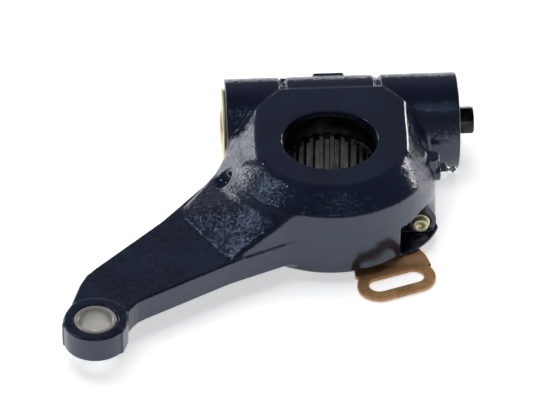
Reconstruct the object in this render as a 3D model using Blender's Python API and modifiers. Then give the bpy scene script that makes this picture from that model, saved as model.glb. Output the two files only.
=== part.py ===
# Automatic brake slack adjuster with a slotted control arm.
#
# The camshaft bore stands on Z. The worm lies along X behind it, with its hex
# end at +X. The lever reaches forward and left to the clevis pin, and the
# control arm reaches forward and right under the hub.
# The origin is where the camshaft axis meets the plane of the worm axis.

from math import acos, atan2, cos, degrees, pi, radians, sin, sqrt, tan

import bmesh
import bpy
from mathutils import Matrix, Vector

MM = 0.001

# Running and seating clearances between separate pieces
SEAT = 0.3 * MM
RUNNING = 0.4 * MM

# Camshaft spline in the worm wheel
SPLINE_TEETH = 26
SPLINE_MODULE = 1.5 * MM
SPLINE_DEPTH = 1.5 * MM
COUNTERBORE_STEP = 0.75 * MM
COUNTERBORE_DEPTH = 9.0 * MM

# Worm and worm wheel
WORM_MODULE = 3.0 * MM
WHEEL_TEETH = 21
WHEEL_WIDTH = 18.0 * MM
WHEEL_ADDENDUM = 2.8 * MM
WHEEL_DEDENDUM = 3.6 * MM
WORM_PITCH_RADIUS = 10.5 * MM
WORM_TIP_RADIUS = 13.4 * MM
WORM_ROOT_RADIUS = 7.0 * MM
WORM_LENGTH = 34.0 * MM
WORM_BACKLASH = 1.1 * MM
PRESSURE_ANGLE = radians(20)

# Worm wheel hubs, above and below the teeth, by the wall round the bore
UPPER_HUB_WALL = 5.0 * MM
LOWER_HUB_WALL = 2.75 * MM
SEAL_CORD = 1.0 * MM

# Hub of the casting
RING_TOP = 23.0 * MM
RING_RADIUS = 38.5 * MM
RING_LEFT = 33.0 * MM
RING_RIGHT = 36.5 * MM
RING_REAR = 39.5 * MM
LEFT_CORNER = 12.5 * MM
RIGHT_CORNER = 10.0 * MM
SHOULDER_TOP = 16.0 * MM
HUB_RADIUS = 48.5 * MM
HUB_BOTTOM = -17.0 * MM
LIP_STEP = 0.75 * MM
LIP_THICKNESS = 3.7 * MM
EDGE_INSET = 0.3 * MM
FLANK_REACH = 9.5 * MM
CHAMBER_ROOM = 2.8 * MM

# Worm tube of the casting
TUBE_RADIUS = 22.6 * MM
TUBE_LEFT = -46.0 * MM
TUBE_RIGHT = 62.0 * MM
WORM_BORE = 14.0 * MM
CAP_BORE = 16.6 * MM
CAP_SEAT = -41.0 * MM

# Lever
LEVER_LENGTH = 145.0 * MM
LEVER_ANGLE = radians(221.2)
LEVER_BOTTOM = -12.0 * MM
LEVER_TOP = 0.5 * MM
BOSS_RADIUS = 15.0 * MM
BUSH_OUTER = 9.5 * MM
PIN_RADIUS = 7.0 * MM
BUSH_PROUD = 0.3 * MM
LEVER_ROOT_TOP = 15.8 * MM

# Rack and its gear
RACK_OFFSET = 4.0 * MM
RACK_MODULE = 1.25 * MM
RACK_GEAR_TEETH = 12
RACK_WIDTH = 6.0 * MM
RACK_HEIGHT = 6.2 * MM
RACK_FRONT = -9.0 * MM
RACK_TEETH = 6
RACK_TUNNEL = 4.9 * MM
RACK_TRAVEL = 10.5 * MM
TUNNEL_FRONT = -21.3 * MM
BOSS_WALL = 2.7 * MM
LUG_OFFSET = 3.8 * MM
LUG_RADIUS = 2.0 * MM
NOTCH_WIDTH = 6.5 * MM

# Control unit and cover
DISC_THICKNESS = 2.5 * MM
WASHER_THICKNESS = 0.9 * MM
WASHER_INSET = 4.5 * MM
COLLAR_WALL = 4.0 * MM
COVER_THICKNESS = 1.4 * MM
COVER_STEP = 1.2 * MM
EAR_RADIUS = 4.5 * MM
EAR_OFFSET = 2.8 * MM
EAR_ANGLES = (205, 250, 290, 160)
ARM_THICKNESS = 2.2 * MM
ARM_JOGGLE = 2.4 * MM
SLOT_X = 27.4 * MM
SLOT_Y = -49.7 * MM
SLOT_ANGLE = radians(19.6)
SLOT_WIDTH = 9.5 * MM
SLOT_LENGTH = 26.5 * MM
ARM_PAD_RADIUS = 10.0 * MM

# Hex end
HEX_FLATS = 12.0 * MM
HEX_REACH = 7.7 * MM

# Grease nipple, on a flat spot at the right of the hub
NIPPLE_Y = 4.0 * MM
NIPPLE_Z = 0.0 * MM
NIPPLE_BORE = 2.6 * MM
NIPPLE_WALL = 2.0 * MM
NIPPLE_SPOT_PROUD = 2.5 * MM

# Sizes that follow from the driving ones
SPLINE_PITCH_RADIUS = SPLINE_MODULE * SPLINE_TEETH / 2
SPLINE_MINOR = SPLINE_PITCH_RADIUS - SPLINE_DEPTH / 2
SPLINE_MAJOR = SPLINE_PITCH_RADIUS + SPLINE_DEPTH / 2
COUNTERBORE_RADIUS = SPLINE_MAJOR + COUNTERBORE_STEP
LIP_RADIUS = COUNTERBORE_RADIUS + LIP_STEP
UPPER_HUB_RADIUS = COUNTERBORE_RADIUS + UPPER_HUB_WALL
LOWER_HUB_RADIUS = SPLINE_MAJOR + LOWER_HUB_WALL
COLLAR_RADIUS = LOWER_HUB_RADIUS + RUNNING + COLLAR_WALL
ARM_HUB_RADIUS = COLLAR_RADIUS - 0.1 * MM
LUG_REACH = COLLAR_RADIUS + LUG_OFFSET
DISC_RIM = LUG_REACH + LUG_RADIUS
CHAMBER_RADIUS = DISC_RIM + CHAMBER_ROOM
COVER_RADIUS = CHAMBER_RADIUS + COVER_STEP
EAR_PITCH = COVER_RADIUS + EAR_OFFSET
RACK_X = CHAMBER_RADIUS + RACK_OFFSET
WHEEL_PITCH_RADIUS = WORM_MODULE * WHEEL_TEETH / 2
WORM_Y = WHEEL_PITCH_RADIUS + WORM_PITCH_RADIUS
WORM_LEAD = pi * WORM_MODULE
WHEEL_TOP = RING_TOP - LIP_THICKNESS - SEAT
GEAR_TOP = WHEEL_WIDTH / 2
GEAR_BOTTOM = -WHEEL_WIDTH / 2
RACK_GEAR_RADIUS = RACK_MODULE * RACK_GEAR_TEETH / 2
RACK_PITCH_Z = -RACK_GEAR_RADIUS
RACK_TIP_Z = RACK_PITCH_Z + 0.72 * RACK_MODULE
RACK_ROOT_Z = RACK_PITCH_Z - 1.25 * RACK_MODULE
RACK_BOTTOM_Z = RACK_TIP_Z - RACK_HEIGHT
RACK_PITCH = pi * RACK_MODULE
RACK_TOOTH = RACK_PITCH / 2 - 0.28 * MM
RACK_TOOTH_ROOT = RACK_TOOTH / 2 + (RACK_PITCH_Z - RACK_ROOT_Z) * tan(PRESSURE_ANGLE)
RACK_REAR = WORM_Y + RACK_PITCH + RACK_TOOTH_ROOT + 0.2 * MM
TUNNEL_REAR = RACK_REAR + RACK_TRAVEL
TUNNEL_Z = (RACK_TIP_Z + RACK_BOTTOM_Z) / 2
WASHER_TOP = GEAR_BOTTOM - SEAT
DISC_TOP = WASHER_TOP - WASHER_THICKNESS - SEAT
DISC_BOTTOM = DISC_TOP - DISC_THICKNESS
COVER_SEAT = HUB_BOTTOM + COVER_THICKNESS + SEAT
COVER_TOP = COVER_SEAT - SEAT
COLLAR_BOTTOM = HUB_BOTTOM - SEAT
ARM_TOP = COLLAR_BOTTOM - SEAT
CLEVIS = Vector((LEVER_LENGTH * cos(LEVER_ANGLE), LEVER_LENGTH * sin(LEVER_ANGLE), 0))

for old in list(bpy.data.objects):
    bpy.data.objects.remove(old, do_unlink=True)

parts = bpy.data.collections.new("brake_slack_adjuster")
cutters = bpy.data.collections.new("cutters")
for collection in (parts, cutters):
    bpy.context.scene.collection.children.link(collection)

AXIS_TURN = {"X": (0, pi / 2, 0), "Y": (-pi / 2, 0, 0), "Z": (0, 0, 0)}


def material(name, colour, roughness, metallic):
    """A plain Principled material for one sub-part."""
    made = bpy.data.materials.new(name)
    made.use_nodes = True
    shader = made.node_tree.nodes["Principled BSDF"]
    shader.inputs["Base Color"].default_value = (*colour, 1)
    shader.inputs["Roughness"].default_value = roughness
    shader.inputs["Metallic"].default_value = metallic
    return made


PAINT = material("navy_black_paint", (0.018, 0.020, 0.032), 0.25, 0.0)
STEEL = material("oiled_steel", (0.30, 0.29, 0.27), 0.4, 1.0)
BUSH_STEEL = material("ground_steel", (0.62, 0.61, 0.58), 0.3, 1.0)
BLACK_STEEL = material("blackened_steel", (0.05, 0.05, 0.055), 0.45, 1.0)
YELLOW_ZINC = material("yellow_zinc", (0.75, 0.66, 0.28), 0.35, 1.0)
ARM_ZINC = material("bronze_zinc", (0.52, 0.38, 0.21), 0.45, 1.0)
BRIGHT_ZINC = material("bright_zinc", (0.75, 0.75, 0.74), 0.25, 1.0)
SPRING_STEEL = material("spring_steel", (0.20, 0.21, 0.22), 0.35, 1.0)
BRONZE = material("bronze", (0.55, 0.35, 0.15), 0.4, 1.0)
RUBBER = material("seal_rubber", (0.02, 0.02, 0.02), 0.7, 0.0)


def place(made, finish=None, axis="Z", at=(0, 0, 0)):
    """Put an object in its collection: a part with a finish, a cutter without."""
    made.rotation_euler = AXIS_TURN[axis]
    made.location = at
    if finish is None:
        cutters.objects.link(made)
        made.hide_render = True
        made.display_type = "WIRE"
        return made
    parts.objects.link(made)
    made.data.materials.append(finish)
    return made


def shade(mesh, angle=35):
    """Smooth shading with edges kept sharp above an angle in degrees."""
    mesh.shade_smooth()
    mesh.set_sharp_from_angle(angle=radians(angle))


def turned(name, profile, finish=None, axis="Z", at=(0, 0, 0), segments=28):
    """A solid of revolution. The profile runs down the outer side, top to bottom.

    A profile that starts off the axis is a closed ring section.
    """
    mesh = bpy.data.meshes.new(name)
    ring = profile[0][0] > 0
    edges = [(i, i + 1) for i in range(len(profile) - 1)]
    if ring:
        edges.append((len(profile) - 1, 0))
    mesh.from_pydata([(r, 0, z) for r, z in profile], edges, [])
    made = place(bpy.data.objects.new(name, mesh), finish, axis, at)
    screw = made.modifiers.new("turn", "SCREW")
    screw.steps = segments
    screw.render_steps = segments
    screw.use_merge_vertices = True
    screw.merge_threshold = 0.000001
    screw.use_smooth_shade = True
    return made


def rod(name, radius, low, high, finish=None, axis="Z", at=(0, 0, 0), segments=24):
    """A plain round bar between two heights on its axis."""
    profile = [(0, high), (radius, high), (radius, low), (0, low)]
    return turned(name, profile, finish, axis, at, segments)


def tube(name, inner, outer, low, high, finish=None, axis="Z", at=(0, 0, 0), segments=28):
    """A plain ring between two radii and two heights."""
    profile = [(inner, high), (outer, high), (outer, low), (inner, low)]
    return turned(name, profile, finish, axis, at, segments)


def o_ring(name, radius, cord, height, finish, axis="Z", at=(0, 0, 0), segments=32):
    """A ring of round cord, given by its middle radius and the cord's radius."""
    sides = 6
    turn = [2 * pi * i / sides for i in range(sides)]
    profile = [(radius + cord * sin(t), height + cord * cos(t)) for t in turn]
    return turned(name, profile, finish, axis, at, segments)


def box(name, low, high, finish=None, turn=0.0, about=(0, 0, 0)):
    """A block between two corners, turned about a vertical line if wanted."""
    mesh = bpy.data.meshes.new(name)
    form = bmesh.new()
    bmesh.ops.create_cube(form, size=1)
    size = Vector(high) - Vector(low)
    middle = (Vector(high) + Vector(low)) / 2
    bmesh.ops.scale(form, vec=size, verts=form.verts)
    bmesh.ops.translate(form, vec=middle, verts=form.verts)
    if turn:
        bmesh.ops.rotate(form, cent=about, matrix=Matrix.Rotation(turn, 3, "Z"), verts=form.verts)
    form.to_mesh(mesh)
    form.free()
    return place(bpy.data.objects.new(name, mesh), finish)


def arc(x, y, radius, start, end, count):
    """Points on an arc, angles in degrees."""
    turns = [radians(start + (end - start) * i / count) for i in range(count + 1)]
    return [(x + radius * cos(t), y + radius * sin(t)) for t in turns]


def plate(name, outlines, low, high, finish=None, axis="Z", at=(0, 0, 0)):
    """A flat outline, with any holes as further outlines, given a thickness."""
    curve = bpy.data.curves.new(name, "CURVE")
    curve.dimensions = "2D"
    curve.fill_mode = "BOTH"
    curve.extrude = (high - low) / 2
    for outline in outlines:
        spline = curve.splines.new("POLY")
        spline.points.add(len(outline) - 1)
        for point, (x, y) in zip(spline.points, outline):
            point.co = (x, y, 0, 1)
        spline.use_cyclic_u = True
    drawn = bpy.data.objects.new(name, curve)
    bpy.context.scene.collection.objects.link(drawn)
    bpy.context.view_layer.update()
    evaluated = drawn.evaluated_get(bpy.context.evaluated_depsgraph_get())
    mesh = bpy.data.meshes.new_from_object(evaluated)
    bpy.data.objects.remove(drawn, do_unlink=True)
    form = bmesh.new()
    form.from_mesh(mesh)
    bmesh.ops.remove_doubles(form, verts=form.verts, dist=0.000001)
    bmesh.ops.translate(form, vec=(0, 0, (high + low) / 2), verts=form.verts)
    bmesh.ops.recalc_face_normals(form, faces=form.faces)
    form.to_mesh(mesh)
    form.free()
    mesh.name = name
    return place(bpy.data.objects.new(name, mesh), finish, axis, at)


def carried(name, section, steps, turn, rise, finish=None, axis="Z", at=(0, 0, 0)):
    """A flat section carried in steps, each a small turn about Z and a rise."""
    form = bmesh.new()
    face = form.faces.new([form.verts.new(point) for point in section])
    spin = Matrix.Rotation(turn / steps, 3, "Z")
    for step in range(steps):
        last = face
        grown = bmesh.ops.extrude_face_region(form, geom=[last])["geom"]
        verts = [item for item in grown if isinstance(item, bmesh.types.BMVert)]
        face = next(item for item in grown if isinstance(item, bmesh.types.BMFace))
        if step:
            bmesh.ops.delete(form, geom=[last], context="FACES_ONLY")
        bmesh.ops.rotate(form, cent=(0, 0, 0), matrix=spin, verts=verts)
        bmesh.ops.translate(form, vec=(0, 0, rise / steps), verts=verts)
    if turn:
        bmesh.ops.triangulate(form, faces=[f for f in form.faces if len(f.verts) == 4])
    bmesh.ops.recalc_face_normals(form, faces=form.faces)
    mesh = bpy.data.meshes.new(name)
    form.to_mesh(mesh)
    form.free()
    return place(bpy.data.objects.new(name, mesh), finish, axis, at)


def coil(name, radius, wire, low, high, turns, finish, axis="Z", at=(0, 0, 0), steps=12):
    """A coil of square wire between two heights."""
    half = wire / 2
    section = [(radius - half, 0, low), (radius + half, 0, low)]
    section += [(radius + half, 0, low + wire), (radius - half, 0, low + wire)]
    rise = high - low - wire
    return carried(name, section, round(turns * steps), turns * 2 * pi, rise, finish, axis, at)


def hull(name, points):
    """The convex block round a set of corners."""
    form = bmesh.new()
    verts = [form.verts.new(point) for point in points]
    found = bmesh.ops.convex_hull(form, input=verts)
    loose = [item for item in found["geom_interior"] if isinstance(item, bmesh.types.BMVert)]
    bmesh.ops.delete(form, geom=loose, context="VERTS")
    bmesh.ops.recalc_face_normals(form, faces=form.faces)
    mesh = bpy.data.meshes.new(name)
    form.to_mesh(mesh)
    form.free()
    return place(bpy.data.objects.new(name, mesh))


def combine(made, others, operation):
    """Join other solids to one, or cut them from it."""
    for other in others:
        step = made.modifiers.new(other.name, "BOOLEAN")
        step.operation = operation
        step.solver = "EXACT"
        step.object = other
    tidy = made.modifiers.new("tidy", "WELD")
    tidy.merge_threshold = 0.000004
    return made


def join(made, *others):
    return combine(made, others, "UNION")


def cut(made, *others):
    return combine(made, others, "DIFFERENCE")


def involute(angle):
    return tan(angle) - angle


def gear_outline(teeth, module, root, tip, thickness, centre=0.0):
    """Involute teeth on a root circle. A tooth space is centred on the angle."""
    pitch = module * teeth / 2
    base = pitch * cos(PRESSURE_ANGLE)
    flank = [root, (root + 2 * tip) / 3, tip]
    half = []
    for radius in flank:
        slope = acos(min(1, base / radius))
        half.append(thickness / 2 / pitch + involute(PRESSURE_ANGLE) - involute(slope))
    outline = []
    for tooth in range(teeth):
        middle = centre + 2 * pi * (tooth + 0.5) / teeth
        sides = [(r, middle - h) for r, h in zip(flank, half)]
        sides += [(r, middle + h) for r, h in reversed(list(zip(flank, half)))]
        outline += [(r * cos(a), r * sin(a)) for r, a in sides]
    return outline


# Casting: hub, worm tube, lever, rack boss and the bores that all pieces run in
BOTTOM_ROUND = 1.5 * MM
hub_profile = [(0, RING_TOP), (RING_RADIUS, RING_TOP), (HUB_RADIUS, SHOULDER_TOP)]
hub_profile += [(HUB_RADIUS, HUB_BOTTOM + BOTTOM_ROUND)]
hub_profile += [(HUB_RADIUS - BOTTOM_ROUND, HUB_BOTTOM), (0, HUB_BOTTOM)]
casting = turned("adjuster_body", hub_profile, PAINT, segments=60)


def ring_platform():
    """Mass behind the ring, with its two cut corners; the side slopes trim it afterwards."""
    front = -RING_RADIUS / 2
    right = RING_RIGHT + FLANK_REACH
    left = -RING_LEFT - FLANK_REACH
    outline = [(-RING_LEFT, front), (RING_RIGHT, front), (right, 0)]
    outline += [(right, RING_REAR - RIGHT_CORNER - FLANK_REACH)]
    outline += [(RING_RIGHT - RIGHT_CORNER, RING_REAR), (LEFT_CORNER - RING_LEFT, RING_REAR)]
    outline += [(left, RING_REAR - LEFT_CORNER - FLANK_REACH), (left, 0)]
    return plate("ring_platform", [outline], 2 * MM, RING_TOP)


def side_slope(name, edge, rise_x, rise_y):
    """Large block over a sloping plane, by a point of the plane and its rise along X and Y."""
    points = []
    for across in (-SLOPE_REACH, SLOPE_REACH):
        for along in (-SLOPE_REACH, SLOPE_REACH):
            z = RING_TOP + rise_x * across + rise_y * along
            points += [(edge[0] + across, edge[1] + along, z)]
            points += [(edge[0] + across, edge[1] + along, z + SLOPE_REACH)]
    return hull(name, points)


def on_lever(share, across, height=0.0):
    """A place by its share of the way from the clevis pin to the camshaft.

    The second number is the distance to the left of that line, in millimetres.
    """
    along = LEVER_LENGTH * (1 - share)
    side = across * MM
    x = along * cos(LEVER_ANGLE) + side * sin(LEVER_ANGLE)
    y = along * sin(LEVER_ANGLE) - side * cos(LEVER_ANGLE)
    return x, y, height


def lever_plate():
    """Lever arm in plan, from the clevis boss to the hub and the worm tube."""
    outline = arc(CLEVIS.x, CLEVIS.y, BOSS_RADIUS, 190, 322, 14)
    front_edge = [(0.096, -6.2), (0.123, -5), (0.148, -4.2), (0.176, -4.7), (0.481, -13.1)]
    front_edge += [(0.695, -22.4)]
    inside_hub = [(0.903, -0.9), (1.032, 35.7), (0.9, 52.6)]
    rear_edge = [(0.827, 40.6), (0.474, 30.9), (0.173, 27), (0.125, 26), (0.078, 23)]
    for share, across in front_edge + inside_hub + rear_edge:
        outline.append(on_lever(share, across)[:2])
    return plate("lever_plate", [outline], LEVER_BOTTOM, LEVER_TOP)


def lever_root():
    """Ramp that thickens the lever up to the hub's shoulder."""
    low = LEVER_BOTTOM + 0.4 * MM
    middle = LEVER_TOP - 0.1 * MM
    points = []
    for share, across in ((0.515, 13.8), (0.482, -12.9), (0.532, 30.2), (0.82, 40.1)):
        points += [on_lever(share, across, low), on_lever(share, across, middle)]
    for share, across in ((0.685, -21.8), (0.955, 23)):
        points.append(on_lever(share, across, low))
    for share, across in ((0.667, -5), (0.706, -22.8), (0.942, 20.7)):
        points.append(on_lever(share, across, LEVER_ROOT_TOP))
    for share, across, drop in ((0.711, 20.7, 6.8), (0.822, 38.5, 8.3)):
        points.append(on_lever(share, across, LEVER_ROOT_TOP - drop * MM))
    return hull("lever_root", points)


def rack_boss():
    """Round boss along the rack's tunnel, at the right of the hub."""
    return rod("rack_boss", RACK_TUNNEL + BOSS_WALL, TUNNEL_FRONT, TUNNEL_REAR + 2 * MM, None, "Y",
               (RACK_X, 0, TUNNEL_Z), 20)


def tube_notch(name, x):
    """Narrow groove over the top of the worm tube, beside the platform."""
    return tube(name, TUBE_RADIUS - NOTCH_DEPTH, TUBE_RADIUS + BEYOND, x - NOTCH_HALF,
                x + NOTCH_HALF, None, "X", (0, WORM_Y, 0), 32)


PLUG_ARCH = 8.0 * MM
PLUG_ARCH_Z = -8.0 * MM
PLUG_ARCH_X = RACK_X - 0.8 * MM
POCKET_WIDTH = 9.6 * MM
POCKET_TOP = -3.0 * MM
LIP_HEIGHT = 1.7 * MM
LIP_LOBE_RADIUS = 16.6 * MM
WEB_TOP = 11.0 * MM
WEB_INSET = 5.0 * MM
RIB_RADIUS = 4.0 * MM
RIB_TOP = 9.0 * MM
NOTCH_DEPTH = 1.3 * MM
NOTCH_HALF = 1.0 * MM
DIMPLE_RADIUS = 4.6 * MM
SCREW_BORE = 1.8 * MM
BEYOND = 5.0 * MM
NIPPLE_FACE = HUB_RADIUS + NIPPLE_SPOT_PROUD
AT_NIPPLE = (0, NIPPLE_Y, NIPPLE_Z)

web = box("web", (WEB_INSET - HUB_RADIUS, WORM_Y - 30 * MM, HUB_BOTTOM + 1.5 * MM),
          (HUB_RADIUS - WEB_INSET, WORM_Y, WEB_TOP))
worm_tube = rod("worm_tube", TUBE_RADIUS, TUBE_LEFT, TUBE_RIGHT, None, "X", (0, WORM_Y, 0), 48)
right_rib = rod("right_rib", RIB_RADIUS, NIPPLE_Z, RIB_TOP, None, "Z",
                (NIPPLE_FACE - RIB_RADIUS - 0.1 * MM, NIPPLE_Y, 0), 16)
lip_lobe = rod("lip_lobe", LIP_LOBE_RADIUS, HUB_BOTTOM + 0.1 * MM, HUB_BOTTOM + LIP_HEIGHT, None, "Z",
               (RACK_X - 8 * MM, TUNNEL_FRONT + 2.8 * MM, 0), 24)
tube_pad = box("tube_pad", (-4.5 * MM, WORM_Y + 8 * MM, TUBE_RADIUS - 9.6 * MM),
               (10 * MM, WORM_Y + 15.6 * MM, TUBE_RADIUS - 4 * MM))
nipple_spot = rod("nipple_spot", NIPPLE_BORE + NIPPLE_WALL, HUB_RADIUS - 8 * MM, NIPPLE_FACE, None,
                  "X", AT_NIPPLE, 14)

SLOPE_REACH = 65 * MM
left_slope = side_slope("left_slope", (EDGE_INSET - RING_LEFT, 0), 0.867, 0)
left_rear = side_slope("left_rear", (EDGE_INSET - RING_LEFT, RING_REAR - 14.3 * MM), 1.484, -0.363)
right_slope = side_slope("right_slope", (RING_RIGHT - 1.3 * MM, RING_REAR - 29.5 * MM), -1.45, 0.08)
join(casting, ring_platform())
cut(casting, left_slope, left_rear, right_slope)
join(casting, web, worm_tube, lever_plate(), lever_root(), rack_boss(), right_rib)
join(casting, tube_pad, nipple_spot)

arch = rod("pocket_arch", PLUG_ARCH, -60 * MM, TUNNEL_FRONT, None, "Y",
           (PLUG_ARCH_X, 0, PLUG_ARCH_Z), 18)
pocket = box("pocket", (PLUG_ARCH_X - POCKET_WIDTH, -60 * MM, HUB_BOTTOM + LIP_HEIGHT),
             (70 * MM, TUNNEL_FRONT + 0.05 * MM, POCKET_TOP))
cut(casting, arch, pocket)
join(casting, lip_lobe)

bore = [(0, RING_TOP + BEYOND), (LIP_RADIUS, RING_TOP + BEYOND)]
bore += [(LIP_RADIUS, WHEEL_TOP + SEAT), (UPPER_HUB_RADIUS + RUNNING, WHEEL_TOP + SEAT)]
bore += [(UPPER_HUB_RADIUS + RUNNING, GEAR_TOP + SEAT), (CHAMBER_RADIUS, GEAR_TOP + SEAT)]
bore += [(CHAMBER_RADIUS, COVER_SEAT), (COVER_RADIUS + SEAT, COVER_SEAT)]
bore += [(COVER_RADIUS + SEAT, HUB_BOTTOM - BEYOND), (0, HUB_BOTTOM - BEYOND)]
camshaft_bore = turned("camshaft_bore", bore, None, segments=40)

worm_bore = [(0, TUBE_RIGHT + BEYOND), (WORM_BORE, TUBE_RIGHT + BEYOND), (WORM_BORE, CAP_SEAT)]
worm_bore += [(CAP_BORE, CAP_SEAT), (CAP_BORE, TUBE_LEFT - BEYOND), (0, TUBE_LEFT - BEYOND)]
worm_bore = turned("worm_bore", worm_bore, None, "X", (0, WORM_Y, 0), 28)

tunnel = rod("rack_tunnel", RACK_TUNNEL, TUNNEL_FRONT - BEYOND, TUNNEL_REAR, None, "Y",
             (RACK_X, 0, TUNNEL_Z), 16)
window = box("lug_window", (CHAMBER_RADIUS - 6 * MM, -6 * MM, DISC_BOTTOM - SEAT),
             (RACK_X, RACK_TRAVEL + 4.5 * MM, DISC_TOP + SEAT))
clevis_bore = rod("clevis_bore", BUSH_OUTER + SEAT, LEVER_BOTTOM - BEYOND, LEVER_TOP + BEYOND,
                  None, "Z", CLEVIS, 28)
nipple_bore = rod("nipple_bore", NIPPLE_BORE, HUB_RADIUS - 6.5 * MM, HUB_RADIUS + BEYOND, None, "X",
                  AT_NIPPLE, 10)
notch_left = tube_notch("notch_left", LEFT_CORNER - RING_LEFT + 0.6 * MM)
notch_right = tube_notch("notch_right", RING_RIGHT - RIGHT_CORNER - 0.6 * MM)
for notch in (notch_left, notch_right):
    keep = box(notch.name + "_keep", (-40 * MM, WORM_Y - 0.5 * MM, 8 * MM),
               (40 * MM, WORM_Y + 40 * MM, 40 * MM))
    step = notch.modifiers.new("keep", "BOOLEAN")
    step.operation = "INTERSECT"
    step.object = keep
dimple = bpy.data.meshes.new("cast_dimple")
form = bmesh.new()
bmesh.ops.create_uvsphere(form, u_segments=10, v_segments=6, radius=DIMPLE_RADIUS)
form.to_mesh(dimple)
form.free()
at_dimple = (-HUB_RADIUS - 1 * MM, -8 * MM, 10 * MM)
dimple = place(bpy.data.objects.new("cast_dimple", dimple), None, "Z", at_dimple)
cut(casting, camshaft_bore, worm_bore, tunnel, window, clevis_bore, nipple_bore)
cut(casting, notch_left, notch_right, dimple)
for index, angle in enumerate(EAR_ANGLES):
    at = (EAR_PITCH * cos(radians(angle)), EAR_PITCH * sin(radians(angle)), 0)
    ear = rod("ear_seat_%d" % index, EAR_RADIUS + SEAT, HUB_BOTTOM - BEYOND, COVER_SEAT,
              None, "Z", at, 14)
    hole = rod("screw_hole_%d" % index, SCREW_BORE, HUB_BOTTOM - BEYOND - 1 * MM,
               COVER_SEAT + 8 * MM, None, "Z", at, 8)
    cut(casting, ear, hole)

# Clevis bush, pressed into the lever's boss
CHAMFER = 0.8 * MM
bush_low = LEVER_BOTTOM - BUSH_PROUD
bush_high = LEVER_TOP + BUSH_PROUD
bush = [(PIN_RADIUS + CHAMFER, bush_high), (BUSH_OUTER - 0.4 * MM, bush_high)]
bush += [(BUSH_OUTER, bush_high - 0.4 * MM), (BUSH_OUTER, bush_low + 0.4 * MM)]
bush += [(BUSH_OUTER - 0.4 * MM, bush_low), (PIN_RADIUS + CHAMFER, bush_low)]
bush += [(PIN_RADIUS, bush_low + CHAMFER), (PIN_RADIUS, bush_high - CHAMFER)]
turned("clevis_bush", bush, BUSH_STEEL, "Z", CLEVIS, 28)

# Worm wheel: helical teeth outside, the camshaft spline inside
LEAD_ANGLE = atan2(WORM_LEAD, 2 * pi * WORM_PITCH_RADIUS)
WHEEL_TWIST = tan(LEAD_ANGLE) * WHEEL_WIDTH / WHEEL_PITCH_RADIUS
THREAD = (WORM_LEAD - WORM_BACKLASH) / 2
WHEEL_TIP = WHEEL_PITCH_RADIUS + WHEEL_ADDENDUM
WHEEL_ROOT = WHEEL_PITCH_RADIUS - WHEEL_DEDENDUM
WHEEL_BOTTOM = HUB_BOTTOM + 0.2 * MM
SEAL_Z = 14.0 * MM


def worm_wheel():
    outline = gear_outline(WHEEL_TEETH, WORM_MODULE, WHEEL_ROOT, WHEEL_TIP, THREAD,
                           pi / 2 - WHEEL_TWIST / 2)
    section = [(x, y, GEAR_BOTTOM) for x, y in outline]
    wheel = carried("worm_wheel", section, 2, WHEEL_TWIST, WHEEL_WIDTH, STEEL)
    groove = UPPER_HUB_RADIUS - 2 * SEAL_CORD - SEAT
    hubs = [(0, WHEEL_TOP), (UPPER_HUB_RADIUS - 0.5 * MM, WHEEL_TOP)]
    hubs += [(UPPER_HUB_RADIUS, WHEEL_TOP - 0.5 * MM), (UPPER_HUB_RADIUS, SEAL_Z + 1.4 * MM)]
    hubs += [(groove, SEAL_Z + 1.4 * MM), (groove, SEAL_Z - 1.4 * MM)]
    hubs += [(UPPER_HUB_RADIUS, SEAL_Z - 1.4 * MM), (UPPER_HUB_RADIUS, GEAR_TOP - 1 * MM)]
    hubs += [(LOWER_HUB_RADIUS, GEAR_TOP - 1 * MM), (LOWER_HUB_RADIUS, WHEEL_BOTTOM)]
    hubs += [(0, WHEEL_BOTTOM)]
    join(wheel, turned("wheel_hubs", hubs, None, segments=32))
    cut(wheel, spline_cutter(), wheel_counterbore())
    return wheel


def spline_cutter():
    """The camshaft's outline: straight-sided grooves between the wheel's spline teeth."""
    half_tip = SPLINE_MODULE * 0.72
    half_root = SPLINE_MODULE * 1.0
    outline = []
    for tooth in range(SPLINE_TEETH):
        middle = pi / 2 + 2 * pi * tooth / SPLINE_TEETH
        pitch = 2 * pi / SPLINE_TEETH
        for radius, offset in ((SPLINE_MINOR, -half_tip), (SPLINE_MINOR, half_tip)):
            angle = middle + offset / radius
            outline.append((radius * cos(angle), radius * sin(angle)))
        for offset in (half_root / SPLINE_MAJOR, pitch - half_root / SPLINE_MAJOR):
            angle = middle + offset
            outline.append((SPLINE_MAJOR * cos(angle), SPLINE_MAJOR * sin(angle)))
    return plate("spline_cutter", [outline], WHEEL_BOTTOM - 5 * MM, WHEEL_TOP + 5 * MM)


def wheel_counterbore():
    """Smooth lead-in above the spline, with a small cone at its foot."""
    foot = WHEEL_TOP - COUNTERBORE_DEPTH
    profile = [(0, WHEEL_TOP + 5 * MM), (COUNTERBORE_RADIUS, WHEEL_TOP + 5 * MM)]
    profile += [(COUNTERBORE_RADIUS, foot), (SPLINE_MINOR - 1 * MM, foot - 1.2 * MM)]
    profile += [(0, foot - 1.2 * MM)]
    return turned("wheel_counterbore", profile, None, segments=32)


worm_wheel()
o_ring("wheel_seal", UPPER_HUB_RADIUS - SEAL_CORD, SEAL_CORD, SEAL_Z, RUBBER)
tube("thrust_washer", LOWER_HUB_RADIUS + RUNNING, CHAMBER_RADIUS - WASHER_INSET,
     WASHER_TOP - WASHER_THICKNESS, WASHER_TOP, BRONZE)

# Worm shaft, turned about its own line along X
AT_WORM = (0, WORM_Y, 0)
STEM = 4.6 * MM
HEX_JOURNAL = 7.2 * MM
GEAR_HALF = 4.5 * MM
JOURNAL_LEFT = RACK_X + GEAR_HALF + 2.1 * MM
LEFT_STUB = 5.0 * MM
STUB_LEFT = -24.5 * MM
BLOCK_HALF = WORM_LENGTH / 2
HEX_START = TUBE_RIGHT - 1 * MM


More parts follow.
